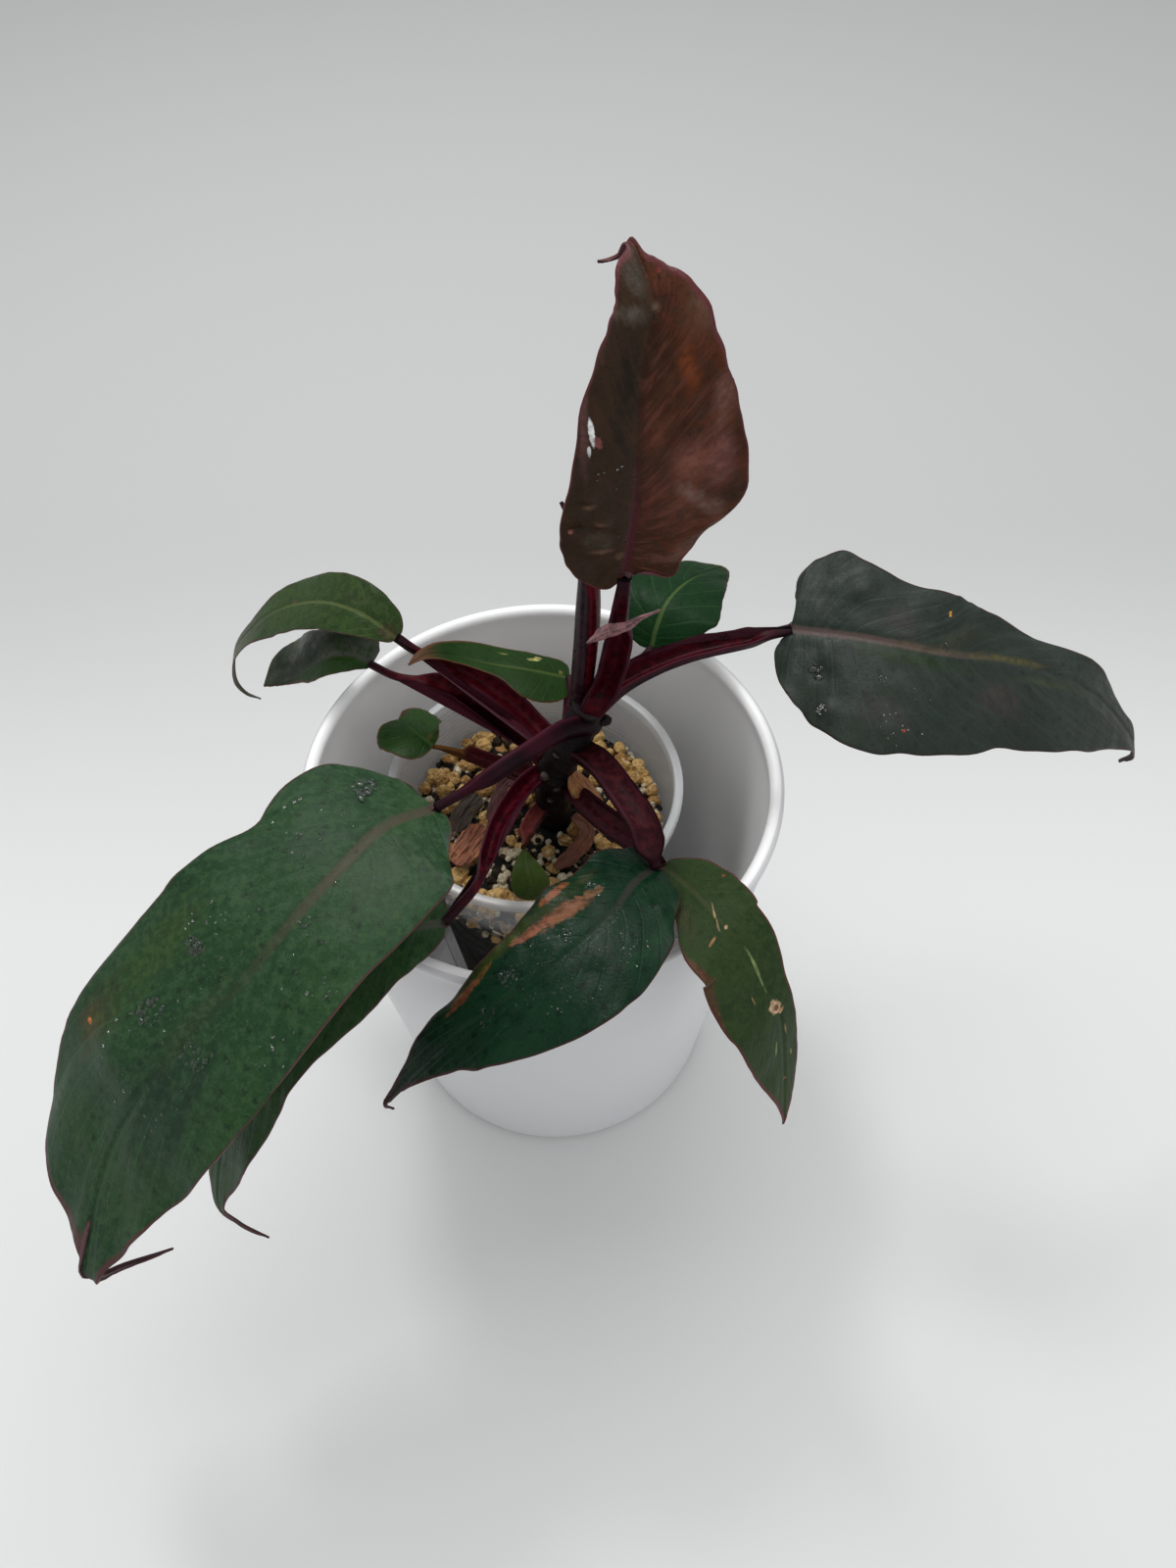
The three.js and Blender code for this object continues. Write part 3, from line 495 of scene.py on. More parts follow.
rightLeaf = {
    "spine": [
        (73, 14, 200), (88, 7, 204), (102, 2, 205), (116, 0, 203), (133, 2, 198), (161, 5, 182),
        (180, 5, 162), (185, 4, 152), (183, 5, 147),
    ],
    "roll": (28, 12),
    "left": [
        (0, 0), (0, 7), (-0.005, 16), (0.02, 23), (0.08, 25), (0.17, 20.7), (0.28, 17.9),
        (0.35, 17.3), (0.385, 16.8), (0.41, 13.2), (0.5, 10.2), (0.62, 9.7), (0.75, 9.6), (0.86, 7),
        (0.93, 3.4), (1, 0),
    ],
    "right": [
        (0, 0), (-0.02, 7), (-0.005, 14.5), (0.04, 21), (0.09, 27), (0.19, 31.5), (0.28, 30),
        (0.39, 26.5), (0.54, 24.6), (0.7, 19.4), (0.84, 10), (0.94, 3), (1, 0),
    ],
    "fold": (6, 6), "width": 30, "grid": (34, 130), "thick": 1.7, "rib": 1.6,
    "seed": 11, "swell": 0.7, "ragged": 0.6, "veins": 14, "veinDepth": 0.18, "waves": 6, "wave": 1.1,
    "puckers": [(12, 12, 4, -1.2), (22, 16, 4, 1.2), (-14, 18, 6, 1.3), (24, 34, 6, 1)],
    "look": {
        "dark": (22, 34, 28), "light": (44, 54, 44), "mottle": (36, 42, 36), "speck": (14, 20, 18),
        "streak": (58, 66, 58), "streakShare": 0.3, "lean": 0.15, "vein": (60, 68, 60), "veinShare": 0.1,
        "veins": 17, "midrib": (84, 66, 62), "ribWide": 1.5, "ribShare": 0.8, "ribFade": (0.22, 0.5),
        "margin": (64, 34, 38), "marginWide": 0.45, "rough": 0.46, "shine": 0.22,
        "under": ((56, 44, 46), (74, 58, 58)),
        "patches": [
            (3.4, 34, 3.4, 24, -4, (34, 50, 22), 0.7),
            (-0.4, 64, 1.7, 18, 3, (84, 80, 44), 0.75),
            (-0.6, 40, 1.6, 16, 0, (84, 78, 56), 0.5),
            (4, 78, 2, 18, 6, (58, 66, 36), 0.55),
            (-5, 48, 4, 12, 20, (52, 56, 40), 0.5),
            (-7, 30, 5, 8, -20, (54, 46, 44), 0.45),
            (12, 60, 7, 14, 10, (62, 52, 50), 0.5),
            (20, 30, 7, 10, 0, (56, 50, 48), 0.4),
            (-11.7, 45, 0.9, 0.6, 0, (196, 140, 60), 1.0),
            (24, 36, 0.5, 0.5, 0, (190, 70, 60), 0.9),
        ],
    },
}
addLeaf("rightLeaf", rightLeaf, "blade_right")

frontLeftLeaf = {
    "spine": [
        (-27, -36, 185), (-39, -46, 191), (-50, -61, 192), (-62, -75, 188), (-74, -87, 180),
        (-98, -102, 160), (-115, -114, 135), (-124, -133, 112), (-122.5, -134.5, 106.5),
        (-116, -131, 104), (-103.5, -127.5, 104.5),
    ],
    "left": [
        (0, 0), (0, 6), (0.03, 15), (0.06, 23), (0.11, 26), (0.23, 25), (0.35, 24), (0.47, 26.6),
        (0.59, 26.5), (0.7, 22.4), (0.79, 15.4), (0.855, 7.2), (0.9, 4.6), (0.95, 2), (1, 0),
    ],
    "right": [
        (0, 0), (0.01, 7), (0.02, 15), (0.06, 24.5), (0.1, 30), (0.2, 29), (0.31, 35.5),
        (0.43, 36.5), (0.55, 35), (0.67, 32.6), (0.73, 28), (0.785, 18.5), (0.82, 9.5), (0.845, 4),
        (0.87, 1.2), (0.91, 2.4), (0.95, 1.6), (1, 0),
    ],
    "curl": (15, 25), "width": 36, "grid": (40, 160), "thick": 1.8, "rib": 1.9,
    "seed": 23, "swell": 0.7, "ragged": 0.6, "veins": 18, "veinDepth": 0.14, "waves": 7, "wave": 1.0,
    "puckers": [(12, 112, 14, 1.8), (-8, 100, 12, -1.2), (18, 60, 12, 1)],
    "look": {
        **greenLook,
        "dark": (24, 54, 32), "light": (38, 68, 32), "mottle": (54, 80, 50), "speck": (18, 38, 22),
        "streak": (54, 80, 54), "streakShare": 0.15, "spots": 0.75,
        "midrib": (74, 64, 52), "ribWide": 2.0, "ribShare": 0.75, "ribFade": (0.12, 0.46),
        "margin": (86, 50, 52), "marginWide": 0.55, "tail": (0.86, 0.9, (74, 46, 52)), "broad": 26,
        "rough": 0.48, "under": ((70, 42, 46), (92, 58, 62)),
        "patches": [
            (26.4, 114, 5, 8, 10, (78, 66, 34), 0.55),
            (26.4, 114.5, 1.1, 1.1, 0, (214, 120, 60), 1.0),
            (-8, 112, 18, 30, 20, (30, 44, 40), 0.45),
            (24, 80, 10, 30, 6, (54, 76, 24), 0.4),
            (24, 112, 7, 16, 6, (70, 66, 30), 0.4),
            (2, 88, 4, 26, 4, (62, 72, 48), 0.35),
            # the grey-green patch near the stalk end is a painted sheen
            (-10, 24, 16, 26, 0, (64, 82, 58), 0.3),
        ],
    },
}
addLeaf("frontLeftLeaf", frontLeftLeaf, "blade_front_left")

lowLeftLeaf = {
    "spine": [
        (-26, -57, 160), (-38, -60, 161), (-51, -66, 158), (-63, -74, 151), (-78, -85, 138),
        (-90, -97, 117), (-97, -110, 93), (-92, -115, 88), (-82, -120, 88),
    ],
    "left": [
        (0, 0), (0.01, 5), (0.05, 10), (0.12, 14), (0.21, 16.8), (0.36, 16), (0.49, 16), (0.62, 15),
        (0.74, 11), (0.83, 4.8), (0.9, 2.4), (1, 0),
    ],
    "right": [
        (0, 0), (-0.01, 5), (0, 11), (0.06, 16), (0.16, 19), (0.31, 21), (0.44, 19), (0.58, 15),
        (0.71, 10), (0.82, 5), (0.9, 2.6), (1, 0),
    ],
    "curl": (15, 25), "width": 24, "grid": (26, 130), "thick": 1.5, "rib": 1.5,
    "seed": 31, "swell": 0.6, "ragged": 0.5, "veins": 15, "veinDepth": 0.12, "waves": 5, "wave": 0.9,
    "look": {
        **greenLook,
        "dark": (28, 63, 33), "light": (50, 86, 43), "mottle": (58, 88, 49), "speck": (18, 40, 22),
        "streak": (96, 104, 96), "streakShare": 0.2, "spots": 0.6,
        "midrib": (84, 84, 74), "ribWide": 1.8, "ribShare": 0.75, "ribFade": (0.1, 0.5),
        "margin": (84, 48, 50), "tail": (0.86, 0.9, (70, 36, 44)), "rough": 0.46,
        "under": ((60, 52, 44), (78, 66, 56)),
    },
}
addLeaf("lowLeftLeaf", lowLeftLeaf, "blade_low_left")

frontLeaf = {
    "spine": [
        (33, -43, 165), (26, -52, 170), (20, -62, 172), (10, -72, 171), (-4, -81, 165),
        (-26, -87, 146), (-44, -91, 121), (-46, -92, 117), (-44, -92, 114),
    ],
    "left": [
        (0, 0), (0.02, 6), (0.07, 13), (0.15, 15.5), (0.19, 18.5), (0.28, 20.8), (0.37, 19.8),
        (0.5, 15.6), (0.62, 11), (0.73, 6.2), (0.86, 2), (0.94, 1), (1, 0),
    ],
    "right": [
        (0, 0), (-0.01, 5.5), (0, 11), (0.06, 14), (0.12, 15.5), (0.23, 18), (0.33, 17.5),
        (0.47, 14), (0.61, 10.5), (0.74, 7), (0.86, 3), (0.94, 1), (1, 0),
    ],
    "width": 28, "grid": (30, 130), "thick": 1.7, "rib": 1.6,
    "seed": 41, "swell": 0.8, "ragged": 0.6, "veins": 14, "veinDepth": 0.12, "waves": 6, "wave": 1.0,
    "puckers": [(-10, 16, 4, 1.2), (8, 30, 5, 0.7), (-8, 40, 6, -0.7), (6, 60, 5, 0.6)],
    "look": {
        "dark": (8, 34, 20), "light": (16, 50, 28), "mottle": (18, 46, 28), "speck": (3, 18, 12),
        "streak": (36, 54, 42), "streakShare": 0.12, "lean": 0.12, "spots": 0.75, "vein": (28, 58, 36),
        "veinShare": 0.08, "veins": 17, "midrib": (56, 50, 48), "ribWide": 1.3, "ribShare": 0.7,
        "ribFade": (0.08, 0.3), "margin": (66, 34, 36), "marginWide": 0.5, "broad": 60,
        "rough": 0.32, "shine": 0.12, "pleat": 0.3, "relief": 0.9, "under": ((64, 40, 44), (80, 54, 54)),
        "patches": [
            (13, 34, 4, 18, -4, (56, 60, 28), 0.5),
            (9.6, 34, 2.6, 12.5, -12, (118, 78, 56), 0.92),
            (11.8, 45, 1.5, 9, -6, (124, 76, 54), 0.85),
            (7.6, 22, 1.6, 4.4, -20, (120, 88, 62), 0.8),
            (15.6, 30, 1.3, 8, -2, (128, 74, 46), 0.9),
            (13.6, 56, 2.6, 20, 8, (58, 66, 22), 0.7),
            (9.8, 66, 1.0, 5, 16, (96, 70, 34), 0.85),
            (8.2, 74, 1.5, 8, 14, (112, 66, 40), 0.85),
            (12, 18, 2.2, 5, -20, (70, 66, 40), 0.5),
            (-4, 34, 5, 9, 0, (44, 58, 48), 0.5),
            (4, 26, 5, 6, 20, (46, 56, 44), 0.5),
            (-14, 26, 3, 12, 0, (24, 62, 34), 0.5),
        ],
    },
}
addLeaf("frontLeaf", frontLeaf, "blade_front")

frontRightLeaf = {
    "spine": [
        (35, -39, 159), (42, -51, 165.5), (50, -64, 167), (56, -69, 164), (61, -76, 156),
        (66, -82, 144), (70, -95, 105),
    ],
    "left": [
        (0, 0), (0, 4.5), (0.05, 9.2), (0.13, 12.3), (0.25, 13.2), (0.4, 9.6), (0.57, 6.2),
        (0.75, 5.8), (0.9, 3.6), (1, 0),
    ],
    "right": [
        (0, 0), (0.04, 1.8), (0.12, 4.6), (0.21, 9.6), (0.3, 15), (0.41, 17.8), (0.53, 17),
        (0.68, 13.3), (0.8, 8.2), (0.9, 3.2), (1, 0),
    ],
    "width": 22, "grid": (24, 120), "thick": 1.5, "rib": 1.3,
    "seed": 53, "swell": 0.5, "ragged": 0.25, "veins": 14, "veinDepth": 0.1, "waves": 4, "wave": 0.25,
    "look": {
        **greenLook,
        "dark": (32, 50, 24), "light": (46, 64, 30), "mottle": (52, 68, 36), "speck": (26, 40, 20),
        "midrib": (74, 76, 50), "ribWide": 1.0,
        "ribShare": 0.5, "ribFade": (0.1, 0.4), "margin": (94, 46, 46), "marginWide": 0.7,
        "rough": 0.4, "shine": 0.1, "under": ((66, 52, 40), (84, 66, 50)),
        "patches": [
            (14.4, 34, 1.4, 12, -4, (100, 62, 48), 0.75),
            (16.4, 46, 1.2, 16, -6, (92, 58, 46), 0.7),
            (8, 22, 4.4, 12, 0, (66, 60, 36), 0.5),
            (-0.6, 25.4, 0.3, 2.6, -25, (168, 140, 104), 0.85),
            (1.2, 29.4, 0.35, 2.0, -30, (176, 148, 112), 0.85),
            (-0.2, 31.2, 0.9, 0.5, 30, (180, 150, 116), 0.8),
            (5.8, 31.8, 1.8, 0.3, 10, (160, 116, 84), 0.8),
            (0.7, 45, 0.7, 7.5, -2, (118, 134, 84), 0.8),
            (0.9, 58, 2.1, 2.7, 20, (202, 168, 134), 0.95),
            (0.6, 58.6, 0.9, 1.3, 20, (96, 60, 40), 0.9),
            (-0.8, 60.6, 1.2, 0.5, 40, (190, 150, 112), 0.9),
            (6, 51.7, 0.25, 1.2, 0, (150, 110, 78), 0.8),
            (-1.2, 67.6, 0.4, 2.2, 5, (140, 122, 84), 0.8),
            (3.2, 72, 0.35, 2.8, -4, (120, 128, 78), 0.8),
            (-0.1, 87, 0.8, 0.5, 0, (150, 108, 76), 0.8),
            (-10.3, 16.5, 0.7, 0.6, 0, (140, 76, 48), 0.85),
            (-3, 78, 0.5, 1.4, 10, (150, 140, 90), 0.8),
        ],
    },
}
addLeaf("frontRightLeaf", frontRightLeaf, "blade_front_right")

backLeftLeaf = {
    "spine": [
        (-43, 28, 185), (-49, 31, 189), (-55, 34, 191), (-65, 41, 188), (-76, 48, 181),
        (-88, 53, 172), (-97, 56, 162), (-106, 59, 149), (-109, 58, 137), (-107, 57, 130),
        (-102, 56, 127),
    ],
    "roll": (-30, -30),
    "left": [
        (0, 0), (0.01, 2.5), (0.06, 5.5), (0.14, 8), (0.25, 9), (0.37, 9.3), (0.47, 9.2),
        (0.56, 7.7), (0.66, 5.2), (0.76, 4.6), (0.85, 3.2), (0.93, 1.4), (1, 0),
    ],
    "right": [
        (0, 0), (0, 3), (0.03, 6.5), (0.1, 9.1), (0.19, 10.2), (0.3, 9.9), (0.4, 9), (0.5, 6.8),
        (0.58, 4.5), (0.68, 3.2), (0.8, 2.9), (0.92, 1.2), (1, 0),
    ],
    "width": 20, "grid": (20, 120), "thick": 1.3, "rib": 1.1,
    "seed": 61, "swell": 0.35, "ragged": 0.35, "veins": 12, "veinDepth": 0.1, "waves": 4, "wave": 0.4,
    "look": {
        **greenLook,
        "dark": (34, 54, 20), "light": (50, 72, 28), "mottle": (54, 76, 34), "speck": (18, 34, 14),
        "midrib": (86, 98, 56), "ribWide": 0.7,
        "ribShare": 0.7, "ribFade": (0.3, 0.65), "margin": (70, 46, 40),
        "tail": (0.56, 0.84, (84, 80, 64)), "rough": 0.34, "under": ((62, 62, 44), (86, 82, 66)),
        "patches": [
            (0.7, 45, 0.8, 1.4, 0, (92, 76, 60), 0.8),
            (-0.5, 3, 4, 4.4, 0, (74, 56, 40), 0.6),
            (3.6, 16, 3, 8, 0, (58, 66, 40), 0.4),
        ],
    },
}
addLeaf("backLeftLeaf", backLeftLeaf, "blade_back_left")

lowBackLeftLeaf = {
    "spine": [
        (-54, 33, 168), (-59, 34, 171), (-67, 36, 169), (-76, 39, 161), (-84, 42, 152),
        (-96, 48, 143),
    ],
    "roll": (-25, -25),
    "left": [
        (0, 0), (0.02, 2), (0.12, 5), (0.28, 6.2), (0.45, 5.8), (0.58, 3.4), (0.7, 1.6), (0.84, 1),
        (0.93, 0.8), (1, 0),
    ],
    "right": [
        (0, 0), (-0.01, 4), (0, 6.5), (0.08, 10), (0.22, 11.5), (0.4, 12.4), (0.54, 14.4),
        (0.68, 16.4), (0.8, 15.4), (0.91, 11), (1, 0),
    ],
    "width": 20, "grid": (18, 80), "thick": 1.2, "rib": 1.0,
    "seed": 71, "swell": 0.4, "ragged": 0.3, "veins": 10, "veinDepth": 0.1, "waves": 3, "wave": 0.5,
    "look": {
        **greenLook,
        "dark": (22, 48, 12), "light": (38, 68, 20), "mottle": (34, 60, 22), "speck": (12, 30, 10),
        "rightDark": (40, 48, 40), "rightLight": (72, 76, 66),
        "midrib": (70, 70, 58), "ribWide": 0.7, "ribShare": 0.5, "ribFade": (0.4, 0.9),
        "margin": (76, 48, 42), "rough": 0.36, "under": ((58, 62, 52), (82, 84, 74)),
    },
}
addLeaf("lowBackLeftLeaf", lowBackLeftLeaf, "blade_low_back_left")

roundLeaf = {
    "spine": [(-35, 14, 150), (-39, 16.5, 152), (-43, 21, 152), (-47, 25, 150.8)],
    "fan": 1,
    "left": [
        (0, 0), (0, 2.6), (0.06, 5.8), (0.28, 9.8), (0.56, 12), (0.82, 11.6), (1.02, 8.4),
        (1.1, 5.2), (1.06, 2.4), (1, 0),
    ],
    "right": [
        (0, 0), (0.02, 3), (0.1, 6), (0.33, 9.6), (0.64, 10.4), (0.92, 9.2), (1.1, 6.6), (1.15, 4),
        (1.08, 2), (1, 0),
    ],
    "width": 12, "grid": (16, 56), "thick": 1.1, "rib": 0.7,
    "seed": 83, "swell": 0.5, "ragged": 0.4, "veins": 7, "veinDepth": 0.12, "waves": 3, "wave": 0.3,
    "look": {
        **greenLook,
        "dark": (20, 48, 8), "light": (36, 70, 16), "mottle": (30, 58, 14), "speck": (12, 30, 8),
        "veins": 7, "midrib": (60, 96, 40), "ribWide": 0.6,
        "ribShare": 0.4, "ribFade": (0.5, 0.95), "margin": (92, 62, 40), "marginWide": 0.6,
        "rough": 0.34, "under": ((60, 66, 36), (80, 84, 50)),
        "patches": [
            (7.4, 19.4, 3.4, 1.6, -20, (118, 82, 62), 0.9),
            (3, 18, 1.6, 1.2, 0, (74, 34, 34), 0.85),
            (-6, 18.6, 3, 0.8, 0, (76, 48, 38), 0.85),
            (2, 3, 2.2, 1.5, 0, (96, 84, 40), 0.6),
        ],
    },
}
addLeaf("roundLeaf", roundLeaf, "blade_round")

backLeaf = {
    "spine": [
        (9, 26, 168), (-3, 25, 173), (-15, 26, 175), (-26, 27, 178), (-33, 23, 183),
        (-39, 19, 183),
    ],
    "left": [
        (0, 0), (-0.01, 4), (0.02, 7.5), (0.1, 10.8), (0.2, 12), (0.3, 10), (0.4, 5.5),
        (0.55, 3.5), (0.7, 3), (0.86, 1.8), (1, 0),
    ],
    "right": [
        (0, 0), (0, 5), (0.05, 7), (0.15, 7.8), (0.33, 8.3), (0.55, 8), (0.72, 5.6), (0.86, 3),
        (0.95, 1.6), (1, 0),
    ],
    "width": 16, "grid": (18, 80), "thick": 1.2, "rib": 0.9,
    "seed": 97, "swell": 0.35, "ragged": 0.3, "veins": 10, "veinDepth": 0.08, "waves": 3, "wave": 0.3,
    "look": {
        **greenLook,
        "dark": (16, 41, 5), "light": (31, 59, 13), "mottle": (26, 52, 12), "speck": (12, 34, 8),
        "midrib": (88, 100, 52), "ribWide": 0.7,
        "ribShare": 0.4, "ribFade": (0.3, 0.8), "margin": (90, 60, 40),
        "tail": (0.74, 1.0, (92, 58, 44)), "rough": 0.4, "shine": 0.1,
        "under": ((66, 60, 40), (86, 76, 54)),
        "patches": [
            (4.7, 12, 0.8, 2.6, 10, (170, 164, 100), 0.85),
            (6, 10, 0.5, 1.6, 0, (180, 168, 110), 0.8),
            (5.5, 22, 0.6, 2, 0, (150, 150, 90), 0.6),
            (1.5, 3, 1.2, 1, 0, (150, 140, 80), 0.5),
        ],
    },
}
addLeaf("backLeaf", backLeaf, "blade_back")

backRightLeaf = {
    "spine": [(35, 35, 171), (37, 39, 178), (41, 46, 182), (49, 57, 180), (61, 71, 172)],
    "left": [
        (0, 0), (0, 4), (0.05, 9), (0.15, 13.5), (0.32, 16.5), (0.48, 16), (0.62, 13), (0.76, 9),
        (0.88, 5), (0.96, 2), (1, 0),
    ],
    "right": [
        (0, 0), (0, 4), (0.05, 8.4), (0.15, 13), (0.3, 17.2), (0.45, 16.2), (0.6, 12.8),
        (0.75, 9.2), (0.88, 6), (0.97, 3), (1, 0),
    ],
    "width": 18, "grid": (20, 80), "thick": 1.3, "rib": 1.0,
    "seed": 103, "swell": 0.4, "ragged": 0.4, "veins": 9, "veinDepth": 0.12, "waves": 4, "wave": 0.5,
    "look": {
        "dark": (11, 38, 15), "light": (21, 53, 25), "mottle": (18, 47, 21), "speck": (8, 28, 14),
        "vein": (50, 78, 42), "veinShare": 0.3, "veins": 9, "midrib": (74, 94, 50), "ribWide": 0.9,
        "ribShare": 0.75, "ribFade": (0.4, 0.9), "margin": (64, 48, 36), "marginWide": 0.5,
        "rough": 0.4, "shine": 0.08, "under": ((58, 62, 44), (76, 80, 58)),
    },
}
addLeaf("backRightLeaf", backRightLeaf, "blade_back_right")

smallFrontLeaf = {
    "spine": [(-6, -20, 141), (-5, -26, 142), (-4, -30, 140), (-3, -32, 136), (-2, -32, 131)],
    "left": [
        (0, 0), (0.08, 1), (0.22, 2.4), (0.4, 4.3), (0.58, 5.5), (0.76, 5.3), (0.9, 3.2), (1, 0),
    ],
    "right": [
        (0, 0), (0.08, 1.2), (0.22, 3), (0.4, 5), (0.58, 6.2), (0.76, 5.6), (0.9, 3.4), (1, 0),
    ],
    "width": 8, "grid": (14, 60), "thick": 0.9, "rib": 0.5,
    "seed": 113, "swell": 0.15, "ragged": 0.15, "veins": 6, "veinDepth": 0.04, "waves": 2, "wave": 0.15,
    "look": {
        **greenLook,
        "dark": (54, 74, 22), "light": (76, 96, 34), "mottle": (66, 86, 30), "speck": (36, 54, 14),
        "veins": 6, "midrib": (86, 98, 50), "ribWide": 0.45,
        "ribShare": 0.5, "ribFade": (0.5, 0.95), "margin": (84, 72, 40), "marginWide": 0.4,
        "rough": 0.34, "under": ((66, 66, 38), (82, 80, 48)),
    },
}
addLeaf("smallFrontLeaf", smallFrontLeaf, "blade_small_front")
print("leaf blades made")


# stalks: a grid is wrapped round a rail, with its channel and lips on the upper side

def stalkSection(stalk, share, around):
    # across and rise in millimetres, how far inside the channel, and how near a lip
    base, wide, narrow = stalk["half"]
    past = clamp((share - stalk["sheath"]) / stalk.get("runout", 0.12))
    half = lerp(lerp(base, wide, clamp(share / stalk["sheath"])), narrow, ease(past, 0, 1))
    opening = lerp(1, 0.12, ease(past, 0, 1)) * ease(share, 0, 0.2)
    lip = opening * stalk.get("lip", 0.28)
    lip *= 1 + 0.5 * noise.noise(Vector((share * 9, 2.5 if around < 0.32 else 7.5, stalk["seed"])))
    outer = 0.62
    if around <= outer:
        angle = math.radians(lerp(308, 52, around / outer))
        nearLip = 1 - min(around, outer - around) / (outer * 0.5)
        reach = half * (1 + lip * ease(nearLip, 0.72, 1))
        return reach * math.sin(angle), reach * math.cos(angle), 0.0, ease(nearLip, 0.8, 1)
    inward = (around - outer) / (1 - outer)
    x = lerp(1, -1, inward)
    start = half * (1 + lip)
    shut = 0.62 + 0.34 * math.sqrt(1 - x * x)
    deep = 0.62 - stalk.get("deep", 0.85) * (1 - abs(x) ** 2.2)
    wall = lerp(1, 0.86, math.sin(math.pi * inward) ** 0.5)
    across, rise = start * 0.788 * x * wall, start * lerp(shut, deep, opening)
    return across, rise, ease(1 - abs(x), 0, 0.35), ease(abs(x), 0.75, 1)


def addStalk(name, stalk):
    rail = makeRail(stalk["path"], stalk.get("face", (0, 0, 1)))
    bm = bmesh.new()
    bm.loops.layers.uv.new("stalk")
    layer = bm.verts.layers.float_vector.new("stalkPlace")
    bmesh.ops.create_grid(bm, x_segments=44, y_segments=80, size=1, calc_uvs=True)
    for vert in bm.verts:
        around, share = (vert.co.x + 1) / 2, (vert.co.y + 1) / 2
        across, rise, inside, nearLip = stalkSection(stalk, share, around)
        point, along, up, side = railAt(rail, share)
        bulge = 1 + 0.04 * noise.noise(Vector((around * 3, share * 6, stalk["seed"])))
        vert.co = (point + side * across * bulge + up * rise * bulge) * mm
        vert[layer] = (inside, share, nearLip)
    capEnds(bm)
    faceOut(bm)
    addPiece(name, bm, [stalkFinishes[stalk["finish"]]], stalk["node"])


def stalkMaterial(name, look):
    material, surface, place = newMaterial(name)
    inside, share, nearLip = axes(fromAttribute(material, "stalkPlace"))
    broad = cloud(place, 55, 3, 0.5, 0.4)
    fine = cloud(place, 420, 3, 0.6)
    specks = cloud(place, 1500, 2)
    base = blend(span(broad, 0.38, 0.62), look["dark"], look["light"])
    inner = blend(span(fine, 0.35, 0.7), look["inner"], look["innerLight"])
    base = blend(inside, base, inner)
    # paler lips: partly the lips' own paler edge, partly a painted highlight
    base = blend(times(nearLip, look["lipAndHighlightShare"]), base, look["lip"])
    base = blend(span(share, *look["tipFade"]), base, look["tip"])
    base = blend(span(specks, 0.6, 0.72, 0, 0.4), base, look["inner"])
    feed(surface["Base Color"], base)
    feed(surface["Roughness"], span(fine, 0.3, 0.7, look["rough"] - 0.06, look["rough"] + 0.1))
    feed(surface["Specular IOR Level"], 0.08)
    addBump(surface, plus(fine, times(specks, 0.4)), 0.00025, 0.5)
    return material


# the lip tones are partly the lips' own paler edge and partly a painted highlight
stalkLook = {
    "dark": (20, 4, 11), "light": (46, 10, 24), "inner": (38, 2, 9), "innerLight": (74, 6, 20),
    "lip": (96, 46, 60), "lipAndHighlightShare": 0.5, "tip": (36, 18, 25), "tipFade": (0.8, 1.0), "rough": 0.36,
}
redStalkLook = {
    **stalkLook, "dark": (40, 6, 13), "light": (62, 14, 22), "inner": (62, 8, 16),
    "innerLight": (92, 24, 34),
}
wideStalkLook = {
    **stalkLook, "inner": (42, 11, 17), "innerLight": (72, 26, 31), "lip": (84, 38, 48), "lipAndHighlightShare": 0.4,
    "tip": (42, 18, 23),
}
brightStalkLook = {
    **stalkLook, "dark": (84, 30, 34), "light": (104, 46, 44), "inner": (92, 36, 38),
    "innerLight": (118, 56, 50), "lip": (120, 66, 60), "tip": (110, 62, 50), "tipFade": (0.75, 0.95),
}
thinStalkLook = {
    **stalkLook, "dark": (66, 18, 24), "light": (88, 32, 34), "inner": (70, 20, 28),
    "innerLight": (92, 36, 38), "tip": (104, 70, 34), "tipFade": (0.7, 0.82), "lip": (104, 50, 52),
}
stalkFinishes = {
    "plain": stalkMaterial("stalkPurple", stalkLook),
    "red": stalkMaterial("stalkRed", redStalkLook),
    "wide": stalkMaterial("stalkWide", wideStalkLook),
    "thin": stalkMaterial("stalkThin", thinStalkLook),
    "bright": stalkMaterial("stalkBright", brightStalkLook),
}

